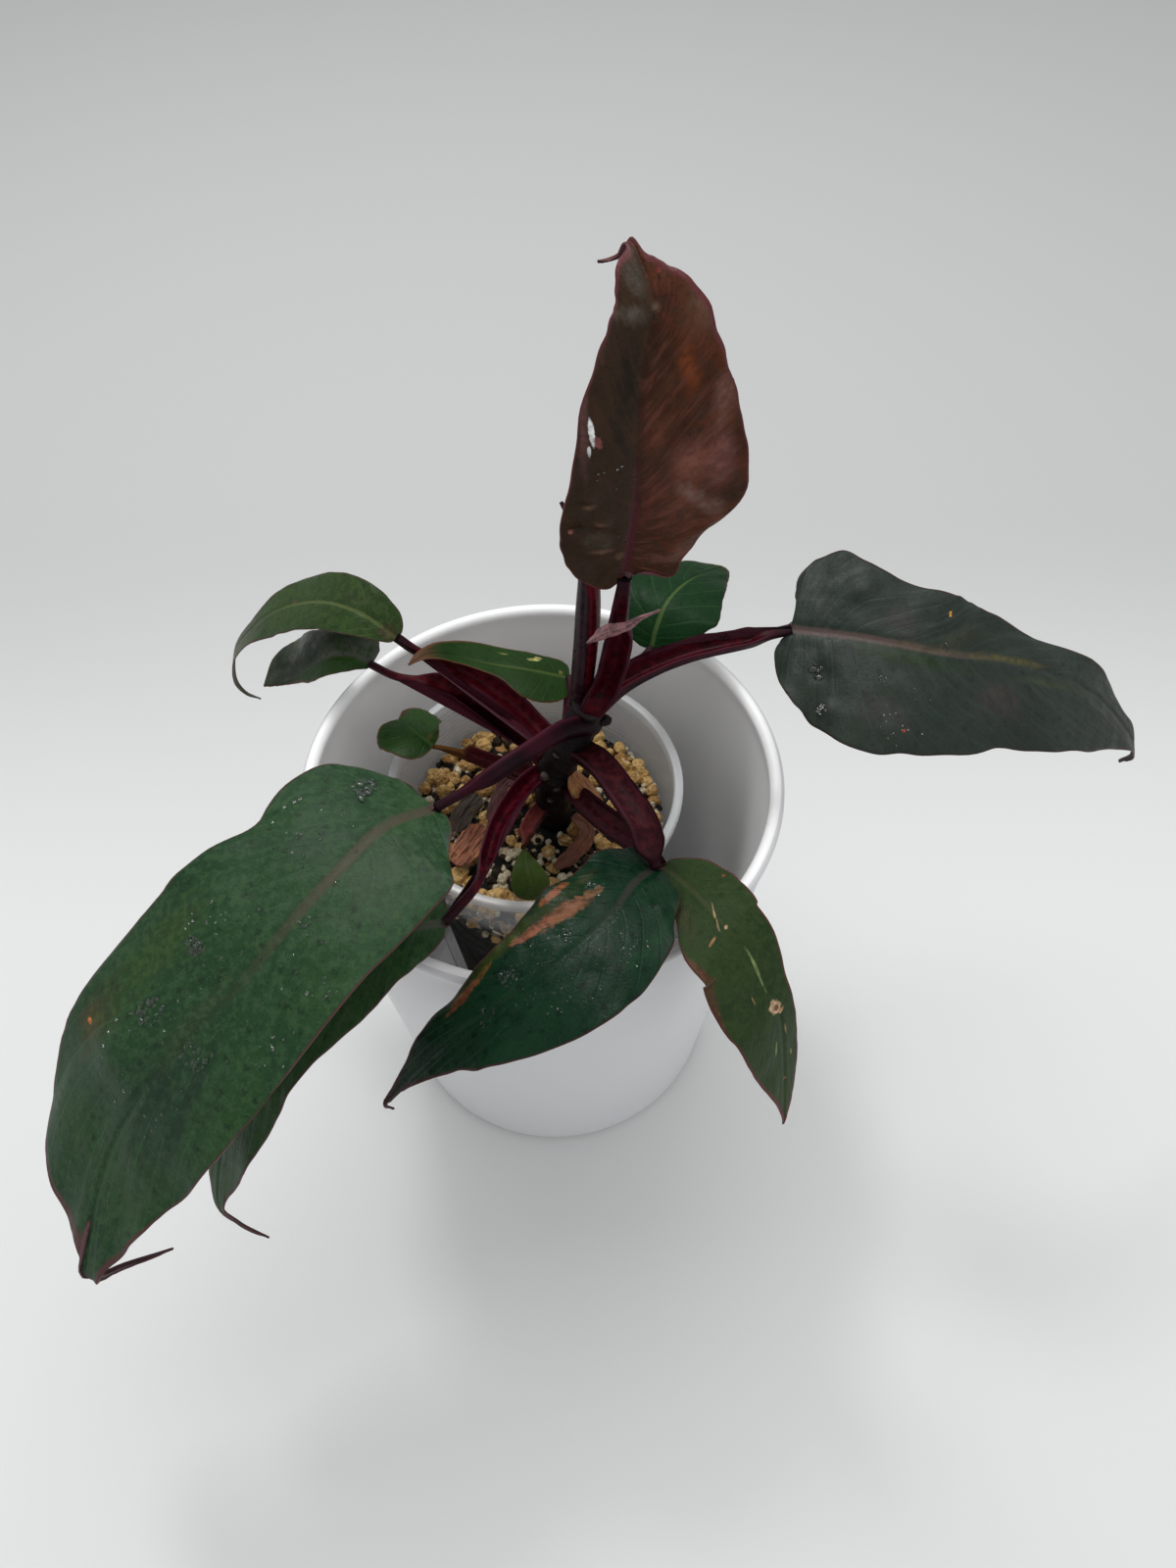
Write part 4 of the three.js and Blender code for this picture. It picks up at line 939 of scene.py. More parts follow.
stalks = {
    "right": {
        "path": [(14, -2, 183), (26, 5, 190.3), (43, 9, 196.3), (60, 11, 199.2), (73, 14, 199.8)],
        "half": (3.8, 2.7, 1.6), "sheath": 0.8, "seed": 1,
        "finish": "plain", "node": "stalk_right",
    },
    "frontLeft": {
        "path": [
            (14, -2, 177), (15, -4, 181), (6, -12, 187), (-5, -24, 191), (-16, -32, 190),
            (-27, -36.5, 186),
        ],
        "half": (3.4, 2.7, 1.5), "sheath": 0.72, "seed": 2,
        "finish": "plain", "node": "stalk_front_left",
    },
    "upright": {
        "path": [(15, -3, 185), (20.6, -5, 202), (23, -8, 219), (23.6, -11, 234), (24, -12.6, 246)],
        "face": (0, -1, 0.3), "half": (3.9, 3.3, 1.8), "sheath": 0.62, "seed": 3,
        "finish": "plain", "node": "stalk_upright",
    },
    "front": {
        "path": [
            (8, -1, 164), (11, -4, 169), (18, -13, 173), (24, -25, 175), (29, -34, 174),
            (31, -40, 171), (33, -44, 166),
        ],
        "half": (3.6, 4.4, 1.7), "sheath": 0.86, "seed": 4,
        "finish": "wide", "node": "stalk_front", "deep": 0.3, "lip": 0.16,
    },
    "lowLeft": {
        "path": [
            (4, 3, 146), (-1, 0, 152), (-7.5, -11.5, 157), (-12.5, -26, 162), (-15, -39.5, 165),
            (-17.5, -48.5, 165), (-26, -57, 160.5),
        ],
        "half": (3.1, 2.4, 1.4), "sheath": 0.68, "seed": 5,
        "finish": "plain", "node": "stalk_low_left",
    },
    "frontRight": {
        "path": [
            (4, 3, 141), (9, -2, 147), (14, -13, 152), (22, -24, 156), (29, -32, 159),
            (35, -39, 159.5),
        ],
        "half": (2.6, 3.4, 1.5), "sheath": 0.84, "seed": 6,
        "finish": "wide", "node": "stalk_front_right", "deep": 0.3, "lip": 0.16,
    },
    "backLeft": {
        "path": [
            (6, 0, 154), (3, 6, 160), (-7, 16, 165), (-17, 22, 170), (-28, 26, 175), (-37, 27, 180),
            (-43, 28, 185.5),
        ],
        "half": (3.2, 3.4, 1.5), "sheath": 0.66, "seed": 7,
        "finish": "red", "node": "stalk_back_left",
    },
    "lowBackLeft": {
        "path": [
            (4, 3, 147), (-3, 10, 153), (-10, 15, 158), (-21, 21, 164), (-33, 25, 168), (-45, 27, 169),
            (-54, 33, 168.5),
        ],
        "half": (2.8, 2.9, 1.3), "sheath": 0.66, "seed": 8,
        "finish": "red", "node": "stalk_low_back_left",
    },
    "round": {
        "path": [(3, 4, 136), (-5, 11, 139), (-16, 13, 142), (-27, 15, 146), (-35, 14, 150)],
        "half": (2.2, 2.4, 0.8), "sheath": 0.72, "seed": 9, "runout": 0.08,
        "finish": "thin", "node": "stalk_round",
    },
    "back": {
        "path": [(7, 0, 155), (9, 9, 163), (10, 18, 168), (9, 26, 168.5)],
        "half": (2.4, 2, 1.2), "sheath": 0.5, "seed": 10,
        "finish": "plain", "node": "stalk_back",
    },
    "backRight": {
        "path": [(9, -1, 164), (17, 11, 168), (27, 24, 171), (35, 35, 171.5)],
        "half": (2.4, 1.8, 1.1), "sheath": 0.5, "seed": 11,
        "finish": "plain", "node": "stalk_back_right",
    },
    "smallFront": {
        "path": [(3, 4, 129), (-1, 0, 134), (-5, -11, 139), (-6, -20, 141.5)],
        "half": (2.4, 2.6, 0.9), "sheath": 0.75, "seed": 12,
        "finish": "bright", "node": "stalk_small_front", "deep": 0.3, "lip": 0.16,
    },
}
for name, stalk in stalks.items():
    addStalk(name + "Stalk", stalk)
print("stalks made")


# main stem with its nodes, scars and root nubs

stem = {
    "path": [(2, 6, 100), (3, 4, 135), (5, 1, 155), (10, -2, 172), (15, -3, 188)],
    "half": 5.4, "nodes": 5, "seed": 5,
    "nubs": [
        ((5.5, -4.6, 168), 1.5), ((1, -3.4, 156), 1.6), ((4.4, -3.6, 150), 1.3), ((19.4, -2.6, 181), 1.9),
        ((-1.5, -0.5, 146), 1.0), ((8.5, -4.4, 161), 0.8), ((2.2, -3.8, 144), 0.9),
    ],
    "dark": (6, 3, 5), "light": (16, 7, 10), "scar": (30, 16, 18), "nub": (66, 54, 48),
}


def stemMaterial():
    material, surface, place = newMaterial("stemSkin")
    stemAxes = axes(fromAttribute(material, "stemPlace"))
    nub, ring = stemAxes[1], stemAxes[2]
    broad = cloud(place, 120, 4, 0.6)
    fine = cloud(place, 700, 3, 0.6)
    base = blend(span(broad, 0.4, 0.65), stem["dark"], stem["light"])
    base = blend(times(ring, 0.5), base, stem["scar"])
    pale = times(nub, span(fine, 0.3, 0.6, 0.55, 1))
    base = blend(pale, base, stem["nub"])
    feed(surface["Base Color"], base)
    feed(surface["Roughness"], span(broad, 0.3, 0.7, 0.4, 0.65))
    feed(surface["Specular IOR Level"], 0.2)
    addBump(surface, plus(broad, fine), 0.0006, 0.7)
    return material


def addStem():
    rail = makeRail(stem["path"], (0, -1, 0))
    bm = bmesh.new()
    layer = bm.verts.layers.float_vector.new("stemPlace")
    bmesh.ops.create_grid(bm, x_segments=48, y_segments=150, size=1)
    for vert in bm.verts:
        turn, share = math.pi * (vert.co.x + 1), (vert.co.y + 1) / 2
        ring = max(0, math.cos(2 * math.pi * stem["nodes"] * share)) ** 8
        half = stem["half"] + 0.5 * max(0, math.cos(2 * math.pi * stem["nodes"] * share)) ** 2 + 0.25 * ring
        half *= lerp(1, 0.8, clamp((share - 0.85) / 0.15))
        half += 0.35 * noise.noise(Vector((math.cos(turn) * 1.5, math.sin(turn) * 1.5, share * 14)))
        point, along, up, side = railAt(rail, share)
        vert.co = (point + side * (half * math.cos(turn)) + up * (half * math.sin(turn))) * mm
        vert[layer] = (share, 0, ring)
    capEnds(bm)
    for place, size in stem["nubs"]:
        reach = Matrix.Translation(Vector(place) * mm) @ Matrix.Diagonal((1, 1, 0.8, 1))
        made = bmesh.ops.create_icosphere(bm, subdivisions=3, radius=size * mm, matrix=reach)
        dark = size > 1.8
        for vert in made["verts"]:
            lump = 1 + 0.3 * noise.noise(vert.co * 900 + Vector(place))
            vert.co = Vector(place) * mm + (vert.co - Vector(place) * mm) * lump
            vert[layer] = (0, 0.0 if dark else 1.0, 0)
    faceOut(bm)
    addPiece("stemPiece", bm, [stemMaterial()], "main_stem")


addStem()


# the rolled new leaf: half of it shows dark and half maroon, with the overlapping edge between

rolledLeaf = {
    "path": [(12, 1, 184), (13.6, -2, 205), (14.8, -2, 222), (15.2, -1, 238), (13.2, 0, 249), (9, 2, 257)],
    "face": (0, -1, 0.3), "half": (3.2, 3.4, 0.5),
    "dark": (32, 14, 22), "darkLight": (50, 28, 37), "red": (64, 3, 14), "redLight": (92, 8, 25),
}


def rolledMaterial():
    material, surface, place = newMaterial("rolledLeafSkin")
    turn = axes(fromAttribute(material, "rollPlace"))[0]
    fine = cloud(place, 380, 3, 0.6)
    dark = blend(span(fine, 0.35, 0.7), rolledLeaf["dark"], rolledLeaf["darkLight"])
    red = blend(span(fine, 0.35, 0.7), rolledLeaf["red"], rolledLeaf["redLight"])
    feed(surface["Base Color"], blend(span(turn, 0.4, 0.42), dark, red))
    feed(surface["Roughness"], span(fine, 0.3, 0.7, 0.26, 0.4))
    feed(surface["Specular IOR Level"], 0.2)
    addBump(surface, fine, 0.0002, 0.5)
    return material


def addRolledLeaf():
    rail = makeRail(rolledLeaf["path"], rolledLeaf["face"])
    base, wide, tip = rolledLeaf["half"]
    bm = bmesh.new()
    layer = bm.verts.layers.float_vector.new("rollPlace")
    bmesh.ops.create_grid(bm, x_segments=40, y_segments=110, size=1)
    for vert in bm.verts:
        around, share = (vert.co.x + 1) / 2, (vert.co.y + 1) / 2
        half = lerp(base, wide, share * 2) if share < 0.5 else lerp(wide, tip, (share * 2 - 1) ** 1.6)
        # a spiral edge: the radius grows once round and steps back at the overlap
        half *= lerp(0.9, 1.08, around)
        turn = 2 * math.pi * around + 1.2 + share * 0.5
        point, along, up, side = railAt(rail, share)
        vert.co = (point + side * (half * math.cos(turn)) + up * (half * math.sin(turn))) * mm
        vert[layer] = (around, share, 0)
    seam = [v for v in bm.verts if v.is_boundary]
    bmesh.ops.remove_doubles(bm, verts=seam, dist=1e-7)
    bmesh.ops.holes_fill(bm, edges=[e for e in bm.edges if e.is_boundary], sides=0)
    faceOut(bm)
    addPiece("rolledNewLeaf", bm, [rolledMaterial()], "new_leaf")


addRolledLeaf()


# the shrivelled bract on the upright leaf's stalk

driedBract = {
    "path": [
        (15.5, -11.5, 223), (17.5, -13.8, 227), (20, -15.3, 230.5), (24, -17, 233.5), (28, -14.5, 234),
        (33, -10, 232),
    ],
    "half": (2.2, 2.5, 0.6), "dark": (84, 48, 52), "light": (140, 96, 98), "crease": (52, 28, 34),
}


def bractMaterial():
    material, surface, place = newMaterial("bractSkin")
    broad = cloud(place, 260, 3, 0.6)
    lines = cloud(shifted(place, (0, 0, 0), (4, 1, 1)), 1300, 3, 0.6)
    base = blend(span(broad, 0.38, 0.62), driedBract["dark"], driedBract["light"])
    base = blend(span(lines, 0.5, 0.66, 0, 0.6), base, driedBract["crease"])
    feed(surface["Base Color"], base)
    feed(surface["Roughness"], span(broad, 0.3, 0.7, 0.4, 0.6))
    addBump(surface, lines, 0.0005, 0.8)
    return material


def addBract():
    rail = makeRail(driedBract["path"])
    start, wide, tip = driedBract["half"]
    bm = bmesh.new()
    bmesh.ops.create_grid(bm, x_segments=36, y_segments=80, size=1)
    for vert in bm.verts:
        turn, share = math.pi * (vert.co.x + 1), (vert.co.y + 1) / 2
        half = lerp(start * 0.5, wide, ease(share, 0, 0.35))
        if share >= 0.35:
            half = lerp(wide, tip, ease(share, 0.35, 0.9))
        half *= 1 + 0.16 * math.cos(turn * 3 + share * 5) + 0.2 * noise.noise(Vector((turn, share * 12, 3)))
        point, along, up, side = railAt(rail, share)
        vert.co = (point + side * (half * math.cos(turn)) + up * (half * 0.6 * math.sin(turn))) * mm
    capEnds(bm)
    faceOut(bm)
    addPiece("driedBractPiece", bm, [bractMaterial()], "bract")


addBract()
print("stem, new leaf and bract made")


# dried sheaths, each a crumpled sheet along its own spine

husks = {
    "strapHusk": {
        "spine": [(-1, 6, 136), (-12, 14, 132), (-17, 6, 127.5), (-18.5, -4, 125)],
        "half": 3.2, "face": (-0.4, 0, 1), "node": "husk_strap", "crumple": 0.7, "seed": 2,
        "dark": (44, 8, 10), "light": (92, 26, 24), "fleck": (112, 54, 36),
    },
    "oliveHusk": {
        "spine": [(-22, 11, 127), (-27, 5, 126), (-30, -2, 125.5)],
        "half": 3.6, "face": (0.5, 0, 1), "node": "husk_olive", "crumple": 0.6, "seed": 4,
        "dark": (30, 20, 12), "light": (62, 46, 26), "fleck": (88, 68, 40),
    },
    "crinkledHusk": {
        "spine": [(-20, -1, 126.5), (-25, -10, 127.5), (-29, -16, 127)],
        "half": 4.6, "face": (0.4, 0.3, 1), "node": "husk_crinkled", "crumple": 1.1, "seed": 6,
        "dark": (80, 34, 16), "light": (156, 92, 56), "fleck": (190, 134, 96),
    },
    "paperyHusk": {
        "spine": [(9, -3, 156), (13, -6, 150), (17, -9, 144), (20, -13, 138)],
        "half": 4.4, "face": (0.5, -0.4, 1), "node": "husk_papery", "crumple": 0.8, "seed": 8,
        "dark": (104, 56, 24), "light": (160, 104, 46), "fleck": (188, 146, 86),
    },
    "frontStripHusk": {
        "spine": [(9, 0, 130), (14, -4, 127), (9, -12, 125.5), (3, -17, 125.5)],
        "half": 2.8, "face": (0, 0, 1), "node": "husk_front_strip", "crumple": 0.6, "seed": 10,
        "dark": (74, 34, 18), "light": (116, 62, 30), "fleck": (140, 92, 52),
    },
}


def huskMaterial(name, husk):
    material, surface, place = newMaterial(name + "Skin")
    huskAxes = axes(fromAttribute(material, "huskPlace"))
    across, share = huskAxes[0], huskAxes[1]
    lines = cloud(gather(times(across, 9), times(share, 3)), 1.0, 4, 0.6)
    broad = cloud(place, 200, 3, 0.6)
    base = blend(span(lines, 0.38, 0.62), husk["dark"], husk["light"])
    base = blend(span(broad, 0.52, 0.7, 0, 0.7), base, husk["fleck"])
    feed(surface["Base Color"], base)
    feed(surface["Roughness"], span(broad, 0.3, 0.7, 0.55, 0.8))
    feed(surface["Sheen Weight"], 0.15)
    addBump(surface, plus(lines, times(broad, 0.6)), 0.0005, 0.9)
    return material


def addHusk(name, husk):
    rail = makeRail(husk["spine"], husk["face"])
    places = ((0, 0), (0.02, 0.5), (0.2, 0.9), (0.5, 1), (0.8, 0.85), (0.97, 0.4), (1, 0))
    outline = [Vector(p) for p in places]
    leaf = {"fold": (16, 10), "curl": (30, 30), "width": husk["half"]}
    bm = bmesh.new()
    layer = bm.verts.layers.float_vector.new("huskPlace")
    bmesh.ops.create_grid(bm, x_segments=26, y_segments=60, size=1)
    for vert in bm.verts:
        share, outward = (vert.co.y + 1) / 2, abs(vert.co.x)
        edge = curvePoint(outline, share)
        torn = 1 + 0.22 * noise.noise(Vector((share * 9, 3 if vert.co.x < 0 else 8, husk["seed"])))
        reach = edge.y * husk["half"] * vert.co.x * torn
        root = share ** 1.8
        place = root + (edge.x - root) * outward ** 1.25
        point, normal = bladePoint(leaf, rail, place, reach)
        spot = Vector((reach * 0.5, place * rail[1] * 0.16, husk["seed"]))
        crease = noise.noise(spot) + 0.5 * noise.noise(spot * 2.3)
        point += normal * (husk["crumple"] * crease * ease(edge.y, 0, 0.5))
        vert.co = point * mm
        vert[layer] = (reach / husk["half"], share, 0)
    bmesh.ops.remove_doubles(bm, verts=bm.verts, dist=1e-7)
    piece = addPiece(name, bm, [huskMaterial(name, husk)], husk["node"])
    wall = piece.modifiers.new("thickness", "SOLIDIFY")
    wall.thickness = 0.35 * mm
    wall.offset = 0


for name, husk in husks.items():
    addHusk(name, husk)
print("dried sheaths made")


# pots, each spun from half a section

def spinProfile(profile, steps, centre=(0, 0)):
    bm = bmesh.new()
    verts = [bm.verts.new((max(radius, 0) * mm, 0, z * mm)) for radius, z in profile]
    edges = [bm.edges.new(pair) for pair in zip(verts, verts[1:])]
    bmesh.ops.spin(
        bm, geom=verts + edges, cent=(0, 0, 0), axis=(0, 0, 1), angle=2 * math.pi, steps=steps,
        use_merge=True,
    )
    bmesh.ops.remove_doubles(bm, verts=bm.verts, dist=1e-7)
    faceOut(bm)
    bmesh.ops.translate(bm, verts=bm.verts, vec=Vector((*centre, 0)) * mm)
    return bm


def bow(x, z, radius, start, end, steps):
    # points on an arc of the section
    turns = [math.radians(lerp(start, end, i / steps)) for i in range(steps + 1)]
    return [(x + radius * math.cos(t), z + radius * math.sin(t)) for t in turns]


def run(first, last, steps):
    # points along a straight wall, without its ends
    return [tuple(lerp(a, b, i / steps) for a, b in zip(first, last)) for i in range(1, steps)]


coverPot = {
    "rim": 75, "foot": 59, "height": 154, "wall": 2.8, "floor": 4,
    "lip": 4.6, "lipInset": 1.6, "lipDepth": 9, "steps": 144,
    # the inside tone is whiter than the same plastic outside: painted light that lifts the shaded inner
    # walls
    "outside": ((220, 220, 222), (213, 213, 216)), "inside": ((253, 253, 253), (250, 250, 250)),
}


def coverPotMaterial(name, colour, shade):
    material, surface, place = newMaterial(name)
    broad = cloud(place, 9, 3)
    grain = cloud(place, 900, 2)
    feed(surface["Base Color"], blend(broad, colour, shade))
    feed(surface["Roughness"], span(broad, 0.3, 0.7, 0.32, 0.42))
    addBump(surface, plus(grain, times(broad, 2)), 0.00006, 0.5)
    return material


def addCoverPot():
    rim, foot, height, wall = [coverPot[key] for key in ("rim", "foot", "height", "wall")]
    floor, lip = coverPot["floor"], coverPot["lip"]
    neck = height - coverPot["lipDepth"]
    shoulder = rim - coverPot["lipInset"]
    half = lip / 2
    profile = [(0, 0.8), (foot - 5.4, 0.8), (foot - 5, 0), (foot - 3, 0), (foot - 2.8, 0.9)]
    profile += bow(foot - 1.6, 2.5, 1.6, -90, 0, 6) + run((foot, 2.5), (shoulder, neck), 14)
    profile += [(shoulder, neck), (shoulder + 0.15, neck + 2.5), (rim - 0.35, neck + 5.2)]
    profile += bow(rim - half, height - half, half, 0, 180, 14)
    profile += [(rim - lip + 0.25, neck + 5), (shoulder - wall + 0.1, neck + 2.2), (shoulder - wall, neck)]
    profile += run((shoulder - wall, neck), (foot - wall, floor + 5), 14)
    profile += bow(foot - wall - 5, floor + 5, 5, 0, -90, 8)
    profile += [(foot * 0.5, floor), (0, floor)]
    bm = spinProfile(profile, coverPot["steps"])
    bm.normal_update()
    for face in bm.faces:
        middle = face.calc_center_median()
        inward = face.normal.x * middle.x + face.normal.y * middle.y < 0
        face.material_index = int(middle.z > floor * 0.5 * mm and (inward or face.normal.z > 0.9))
    finishes = [coverPotMaterial("coverPotOutside", *coverPot["outside"])]
    # the inner walls get the whiter tone, a painted light on their shade
    finishes.append(coverPotMaterial("coverPotInsidePaintedLight", *coverPot["inside"]))
    addPiece("coverPotPiece", bm, finishes, "cover_pot")


addCoverPot()

mixLevel = 120

cup = {
    "centre": (-3, 7), "rim": 48, "foot": 33, "base": 4.3, "top": 140, "wall": 1.4, "floor": 2,
    "lip": 3, "lipHeight": 3, "fineRibs": (14, 114, 1.9, 0.2), "steps": 128,
    "broadRibs": (22, 31, 40, 49), "broadRibHeight": 0.7,
    "colour": (206, 209, 210), "frost": (226, 228, 229),
}


def cupRadius(z):
    share = (z - cup["base"]) / (cup["top"] - cup["base"])
    return lerp(cup["foot"], cup["rim"] - cup["lip"] + cup["wall"], share)


def cupMaterial():
    # clear plastic with a milky rim
    material, surface, place = newMaterial("cupPlastic")
    height = axes(place)["Z"]
    broad = cloud(place, 40, 3)
    rimShare = span(height, (cup["top"] - 4) * mm, (cup["top"] - 2.4) * mm)
    feed(surface["Base Color"], blend(rimShare, cup["colour"], cup["frost"]))
    # clearer against the mix than over it
    ribRun = reckon("FRACT", reckon("DIVIDE", height, cup["fineRibs"][2] * mm))
    ribLine = span(unsigned(minus(ribRun, 0.5)), 0.3, 0.5, 0.01, 0.05)
    above = span(height, (mixLevel - 6) * mm, (mixLevel + 2) * mm, 0, 0.3)
    clear = times(plus(ribLine, above), span(broad, 0.3, 0.7, 0.85, 1.15))
    feed(surface["Alpha"], plus(clear, times(rimShare, 0.2)))
    feed(surface["Roughness"], span(broad, 0.3, 0.7, 0.16, 0.28))
    feed(surface["Specular IOR Level"], 0.6)
    addBump(surface, broad, 0.0003, 0.4)
    return material


def addCup():
    rim, foot, top, wall, base = [cup[key] for key in ("rim", "foot", "top", "wall", "base")]
    underLip, lipInner, innerFloor = top - cup["lipHeight"], rim - cup["lip"], base + cup["floor"]
    low, high, pitch, height = cup["fineRibs"]
    profile = [(0, base), (foot * 0.5, base), *bow(foot - 1, base + 1, 1, -90, 0, 4)]
    z = low
    while z < underLip - 3:
        fine = height * max(0, math.sin(2 * math.pi * z / pitch)) if z < high else 0
        broad = sum(cup["broadRibHeight"] * math.exp(-((z - at) / 1.1) ** 2) for at in cup["broadRibs"])
        profile.append((cupRadius(z) + fine + broad, z))
        z += pitch / 4 if z < high else 3
    profile += [(cupRadius(underLip), underLip), (rim - 0.6, underLip + 0.1)]
    profile += bow(rim - 0.7, underLip + 0.8, 0.7, -90, 0, 3) + bow(rim - 0.7, top - 0.7, 0.7, 0, 90, 4)
    profile += bow(lipInner + 0.7, top - 0.7, 0.7, 90, 180, 4)
    profile += run((lipInner, top - 0.7), (foot - wall, innerFloor + 1), 10)
    profile += bow(foot - wall - 1, innerFloor + 1, 1, 0, -90, 4)
    profile += [(foot * 0.5, innerFloor), (0, innerFloor)]
    bm = spinProfile(profile, cup["steps"], cup["centre"])
    addPiece("nurseryCupPiece", bm, [cupMaterial()], "nursery_cup")


addCup()
print("pots made")


# potting mix: a dark body with pumice, perlite and bark bits on it

mix = {
    "level": mixLevel, "dome": 1.5, "gap": 0.3, "stemClear": 6.5, "seed": 7,
    "pumice": {"count": 210, "size": (1.9, 3.8), "rim": 46, "wall": 90},
    "perlite": {"count": 480, "size": (0.8, 1.9), "rim": 30, "wall": 60},
    "bark": {"count": 260, "size": (1.0, 2.4), "rim": 10, "wall": 30},
    "wallDepth": 15,
    "soil": (7, 9, 7), "soilLight": (22, 22, 16),
    "pumiceTones": ((150, 108, 56), (208, 170, 106), (234, 212, 166)),
    "perliteTones": ((190, 176, 142), (222, 212, 186)), "barkTones": ((20, 15, 12), (52, 38, 26)),
}


def mixRadius(z):
    low = cup["base"] + cup["floor"]
    return lerp(cup["foot"] - cup["wall"], cup["rim"] - cup["lip"], (z - low) / (cup["top"] - low))


def soilMaterial():
    # seen through the cup: a pumice band at the top and dark mix below
    material, surface, place = newMaterial("mixBody")
    lumps = cells(place, 190)
    broad = cloud(place, 60, 4)
    lumpTone = newNode(place, "SeparateColor")
    feed(lumpTone.inputs[0], lumps["Color"])
    pale = blend(lumpTone.outputs[0], mix["pumiceTones"][0], mix["perliteTones"][1])
    dark = blend(span(broad, 0.35, 0.65), mix["soil"], mix["soilLight"])
    chosen = span(lumpTone.outputs[1], 0.3, 0.34)
    nearTop = span(axes(place)["Z"], (mix["level"] - 17) * mm, (mix["level"] - 11) * mm, 0.06, 1)
    rugged = plus(lumps["Distance"], times(cloud(place, 500, 4, 0.7), 0.9))
    share = times(times(chosen, nearTop), span(rugged, 0.95, 0.75))
    feed(surface["Base Color"], blend(share, dark, pale))
    feed(surface["Roughness"], 0.9)
    feed(surface["Specular IOR Level"], 0.25)
    addBump(surface, minus(broad, lumps["Distance"]), 0.0015, 0.8)
    return material


def grainMaterial(name, tones, grainScale, rough=0.85):
    material, surface, place = newMaterial(name)
    tint = axes(fromAttribute(material, "grainPlace"))[0]
    pits = cells(place, grainScale)
    fine = cloud(place, grainScale * 0.8, 4, 0.7)
    base = blend(tint, tones[0], tones[1])
    if len(tones) > 2:
        base = blend(span(fine, 0.5, 0.7, 0, 0.7), base, tones[2])
    # the pits are painted darker: a painted shade in the pores
    pitPaintedShade = span(pits["Distance"], 0.3, 0.1, 0, 0.6)
    base = blend(pitPaintedShade, base, tuple(c * 0.45 for c in tones[0]))
    feed(surface["Base Color"], base)
    feed(surface["Roughness"], span(fine, 0.3, 0.7, rough - 0.15, rough))
    feed(surface["Specular IOR Level"], 0.25)
    addBump(surface, plus(pits["Distance"], fine), 0.0009, 1.0)
    return material


def addGrain(bm, layer, rng, centre, size, index):
    centre = Vector(centre) * mm
    shift = Matrix.Translation(centre)
    made = bmesh.ops.create_icosphere(bm, subdivisions=2, radius=size * mm, matrix=shift)
    tint, phase = rng.random(), rng.random() * 50
    flatten = Vector([lerp(0.75, 1.1, rng.random()) for i in range(3)])
    turnBy = Matrix.Rotation(rng.random() * 6, 3, Vector((rng.random(), rng.random(), 1)))
    for vert in made["verts"]:
        offset = vert.co - centre
        spot = offset * (0.9 / (size * mm)) + Vector((phase, 0, 0))
        lump = 1 + 0.34 * noise.noise(spot) + 0.22 * noise.noise(spot * 2.7)
        vert.co = centre + turnBy @ (offset * flatten * lump)
        vert[layer] = (tint, 0, 0)
        for face in vert.link_faces:
            face.material_index = index


def grainPlaces(kind, grains, rng, edge):
    # over the top, round the rim, and pressed to the wall below the rim
    level, dome, (middleX, middleY) = mix["level"], mix["dome"], cup["centre"]
    for k in range(grains["count"] + grains["rim"] + grains["wall"]):
        size, turn = lerp(*grains["size"], rng.random() ** 1.6), rng.random() * 2 * math.pi
        away = (edge - size * 1.1) * math.sqrt(rng.random())
        height = None
        if k >= grains["count"]:
            size = lerp(*grains["size"], rng.random() * 0.5)
            away = edge - size * 1.05
        if k >= grains["count"] + grains["rim"]:
            height = level - size - mix["wallDepth"] * rng.random() ** 1.5
            away = mixRadius(height) - size * 1.15
        x, y = middleX + away * math.cos(turn), middleY + away * math.sin(turn)
        forward = (middleY - y) / edge
        if height is None:
            if math.hypot(x - stem["path"][0][0], y - stem["path"][0][1]) < mix["stemClear"] + size:
                continue
            if kind == "pumice" and away < edge * 0.7 and rng.random() < ease(forward, -0.1, 0.6) * 0.8:
                continue
            if kind == "perlite" and rng.random() > 0.5 + 0.5 * ease(forward, -0.5, 0.4):
                continue
            height = level + dome * (1 - (away / edge) ** 2) + size * lerp(-0.1, 0.55, rng.random())
        yield (x, y, height), size


def addMix():
    low = cup["base"] + cup["floor"] + mix["gap"]
    edge = mixRadius(mix["level"]) - 2 * mix["gap"]
    level, dome = mix["level"], mix["dome"]
    profile = [(0, low), *run((0, low), (mixRadius(low) - 1.8, low), 4), (mixRadius(low) - 1.8, low)]
    profile += run(profile[-1], (edge - 1.5, level), 30) + [(edge - 1.5, level)]
    rings = [1 - i / 16 for i in range(1, 16)]
    profile += [((edge - 1.5) * r, level + dome * (1 - r * r)) for r in rings] + [(0, level + dome)]
    bm = spinProfile(profile, 96, cup["centre"])
    layer = bm.verts.layers.float_vector.new("grainPlace")
    for vert in bm.verts:
        if vert.co.z > (level - 1) * mm:
            vert.co.z += 0.0009 * noise.noise(vert.co * 260)
    finishes = [soilMaterial()]
    rng = random.Random(mix["seed"])
    for index, kind in enumerate(("pumice", "perlite", "bark")):
        finishes.append(grainMaterial(kind + "Grain", mix[kind + "Tones"], (700, 1100, 900)[index]))
        for place, size in grainPlaces(kind, mix[kind], rng, edge):
            addGrain(bm, layer, rng, place, size, index + 1)
    faceOut(bm)
    addPiece("pottingMixPiece", bm, finishes, "potting_mix")


addMix()
print("potting mix made")


# water drops left on the blades: across, along, spread, count and sizes

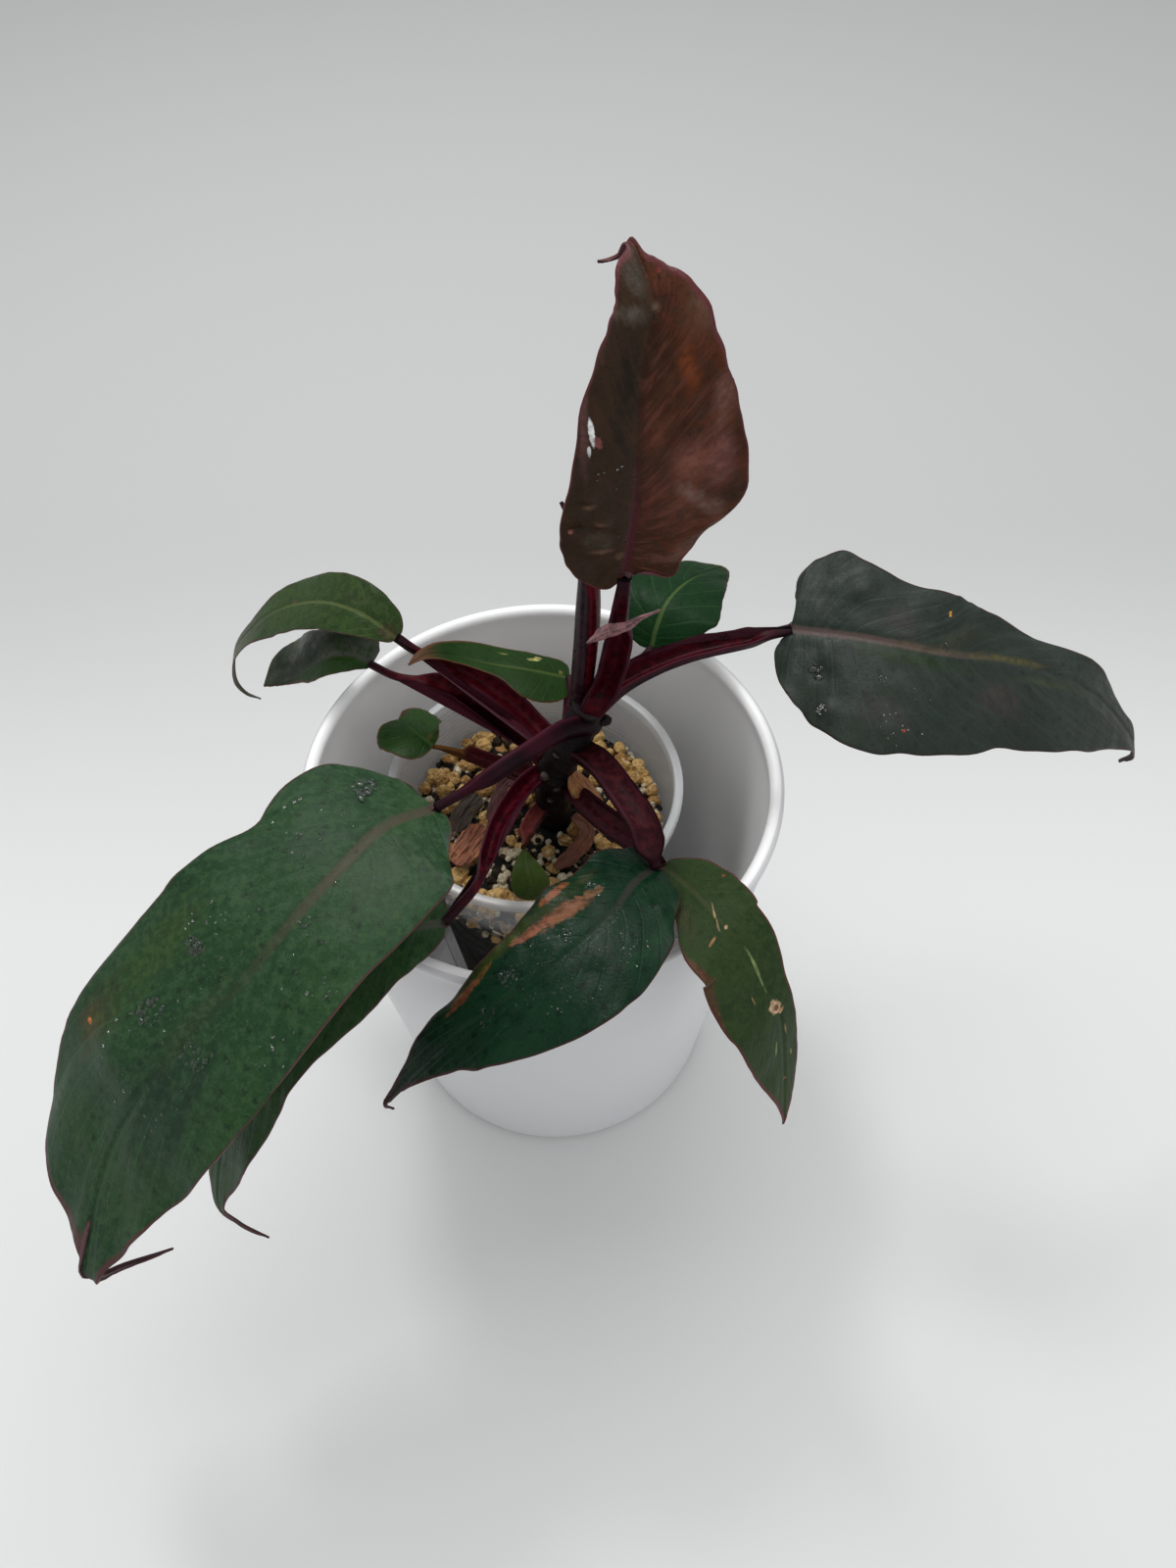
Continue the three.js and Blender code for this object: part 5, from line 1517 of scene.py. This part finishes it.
drops = {
    "frontLeftLeaf": [
        (13.4, 13.6, 3.4, 18, 0.7, 1.7), (16, 74, 3.6, 26, 0.4, 1.1), (13, 96, 4, 26, 0.4, 1.3),
        (-4.4, 93, 4, 18, 0.3, 0.9), (-20, 57, 3.6, 24, 0.4, 1.1), (-3, 49.5, 2, 10, 0.3, 0.8),
        (0, 70, 24, 110, 0.2, 0.5), (4, 110, 16, 60, 0.2, 0.5), (8, 30, 18, 60, 0.2, 0.5),
    ],
    "frontLeaf": [
        (4.3, 38, 2.6, 16, 0.25, 0.7), (4.9, 58, 2.6, 18, 0.25, 0.8), (0.4, 69.5, 3, 14, 0.2, 0.6),
        (0, 50, 11, 90, 0.14, 0.36), (-8, 66, 3, 24, 0.14, 0.36), (-6, 30, 9, 50, 0.14, 0.34),
        (-14, 42, 2, 20, 0.14, 0.36), (8, 20, 3, 16, 0.16, 0.4),
    ],
    "rightLeaf": [
        (11.4, 9.7, 2.4, 10, 0.4, 1.1), (21.6, 14.4, 2, 6, 0.4, 0.9), (11, 28.6, 1, 5, 0.3, 0.6),
        (20, 34, 9, 22, 0.16, 0.36), (-2, 44, 3, 8, 0.2, 0.4),
    ],
    "uprightLeaf": [(-5, 30, 5, 12, 0.12, 0.28), (-2, 12, 2, 8, 0.12, 0.3)],
    "lowLeftLeaf": [(8, 40, 5, 14, 0.2, 0.4)],
    "smallFrontLeaf": [(0, 8, 2, 4, 0.15, 0.25)],
}


def waterMaterial():
    material, surface, place = newMaterial("waterDrop")
    feed(surface["Base Color"], (1, 1, 1, 1))
    feed(surface["Transmission Weight"], 1)
    feed(surface["IOR"], 1.33)
    feed(surface["Coat Weight"], 0.4)
    feed(surface["Coat IOR"], 1.5)
    feed(surface["Coat Roughness"], 0.02)
    feed(surface["Roughness"], span(cloud(place, 500, 2), 0.3, 0.7, 0.0, 0.05))
    return material


def addDrops():
    bm = bmesh.new()
    rng = random.Random(19)
    for name, clusters in drops.items():
        leaf, rail = leafRails[name]
        for x, y, spread, count, smallest, largest in clusters:
            for k in range(count):
                away, turn = spread * math.sqrt(rng.random()), rng.random() * 2 * math.pi
                reach, far = x + away * math.cos(turn), y + away * math.sin(turn)
                size = lerp(smallest, largest, rng.random() ** 2)
                point, normal = bladePoint(leaf, rail, far / rail[1], reach)
                height = bladeRelief(leaf, rail[1], far / rail[1], reach) + 0.2
                centre = (point + normal * (height + size * 0.1)) * mm
                lay = normal.to_track_quat("Z", "Y").to_matrix().to_4x4()
                spin = Matrix.Rotation(rng.random() * math.pi, 4, "Z")
                long, wide = lerp(0.8, 1.6, rng.random()), lerp(0.7, 1.1, rng.random())
                shape = Matrix.Translation(centre) @ lay @ spin @ Matrix.Diagonal((long, wide, 0.42, 1))
                bmesh.ops.create_icosphere(bm, subdivisions=2, radius=size * mm, matrix=shape)
    addPiece("waterDrops", bm, [waterMaterial()])


addDrops()
print("water drops made")


# floor, light and camera

studio = {
    "floor": (226, 227, 226), "farFloorPaintedShade": (192, 193, 192), "world": (238, 239, 240), "worldStrength": 0.7,
    "ceiling": {"place": (-0.05, 0.36, 1.3), "aim": (0.0, 0.0, 0.1), "size": 1.0, "power": 6.6},
    "lamp": {"place": (-0.25, 0.55, 1.2), "aim": (0.0, 0.0, 0.1), "size": 0.2, "power": 3.2},
    "side": {"place": (1.2, -0.9, 0.9), "aim": (0, 0, 0.15), "size": 1.0, "power": 2.5},
}


def addFloor():
    bm = bmesh.new()
    bmesh.ops.create_grid(bm, x_segments=40, y_segments=80, size=1)
    for vert in bm.verts:
        x, y = vert.co.x * 5, vert.co.y * 5
        # flat, then curved up behind the pot
        turn = min(max(0, y - 3), 1.9) / 1.2
        vert.co = (x, min(y, 3 + 1.2 * math.sin(turn)), 1.2 * (1 - math.cos(turn)) - 0.0002)
    mesh = bpy.data.meshes.new("studioFloor")
    bm.to_mesh(mesh)
    bm.free()
    mesh.shade_smooth()
    material, surface, place = newMaterial("studioPaper")
    # the floor is painted darker further back: a painted shade standing in for the light falling off
    away = plus(axes(place)["Y"], times(cloud(place, 1.5, 2), 0.08))
    shade = span(away, 0.04, 0.34)
    feed(surface["Base Color"], blend(shade, studio["floor"], studio["farFloorPaintedShade"]))
    feed(surface["Roughness"], 0.6)
    feed(surface["Specular IOR Level"], 0.2)
    mesh.materials.append(material)
    floor = bpy.data.objects.new("studioFloor", mesh)
    bpy.context.scene.collection.objects.link(floor)


def addLight(name, lamp):
    light = bpy.data.lights.new(name, "AREA")
    light.shape = "SQUARE"
    light.size = lamp["size"]
    light.energy = lamp["power"]
    holder = bpy.data.objects.new(name, light)
    holder.location = lamp["place"]
    holder.rotation_euler = (Vector(lamp["aim"]) - Vector(lamp["place"])).to_track_quat("-Z", "Y").to_euler()
    bpy.context.scene.collection.objects.link(holder)


def addCamera():
    # the view that the picture was taken from, with a long side of 36 mm
    camera = {"place": (14.2, -224.0, 442.2), "down": 52.8, "roll": -1.11, "lens": 27.045}
    down, roll = math.radians(camera["down"]), math.radians(camera["roll"])
    ahead = Vector((0, math.cos(down), -math.sin(down)))
    right = Vector((1, 0, 0))
    up = right.cross(ahead)
    right, up = right * math.cos(roll) + up * math.sin(roll), up * math.cos(roll) - right * math.sin(roll)
    data = bpy.data.cameras.new("camera")
    data.sensor_width = 36
    data.lens = camera["lens"]
    data.clip_start, data.clip_end = 0.01, 50
    holder = bpy.data.objects.new("camera", data)
    turn = Matrix((right, up, -ahead)).transposed().to_4x4()
    holder.matrix_world = Matrix.Translation(Vector(camera["place"]) * mm) @ turn
    bpy.context.scene.collection.objects.link(holder)
    bpy.context.scene.camera = holder


addFloor()
addLight("ceilingLight", studio["ceiling"])
addLight("sideLight", studio["side"])
addLight("smallLamp", studio["lamp"])
world = bpy.data.worlds.new("studioWorld")
world.use_nodes = True
world.node_tree.nodes["Background"].inputs["Color"].default_value = tone(*studio["world"])
world.node_tree.nodes["Background"].inputs["Strength"].default_value = studio["worldStrength"]
bpy.context.scene.world = world
bpy.context.scene.view_settings.view_transform = "Standard"
addCamera()
print("studio made")
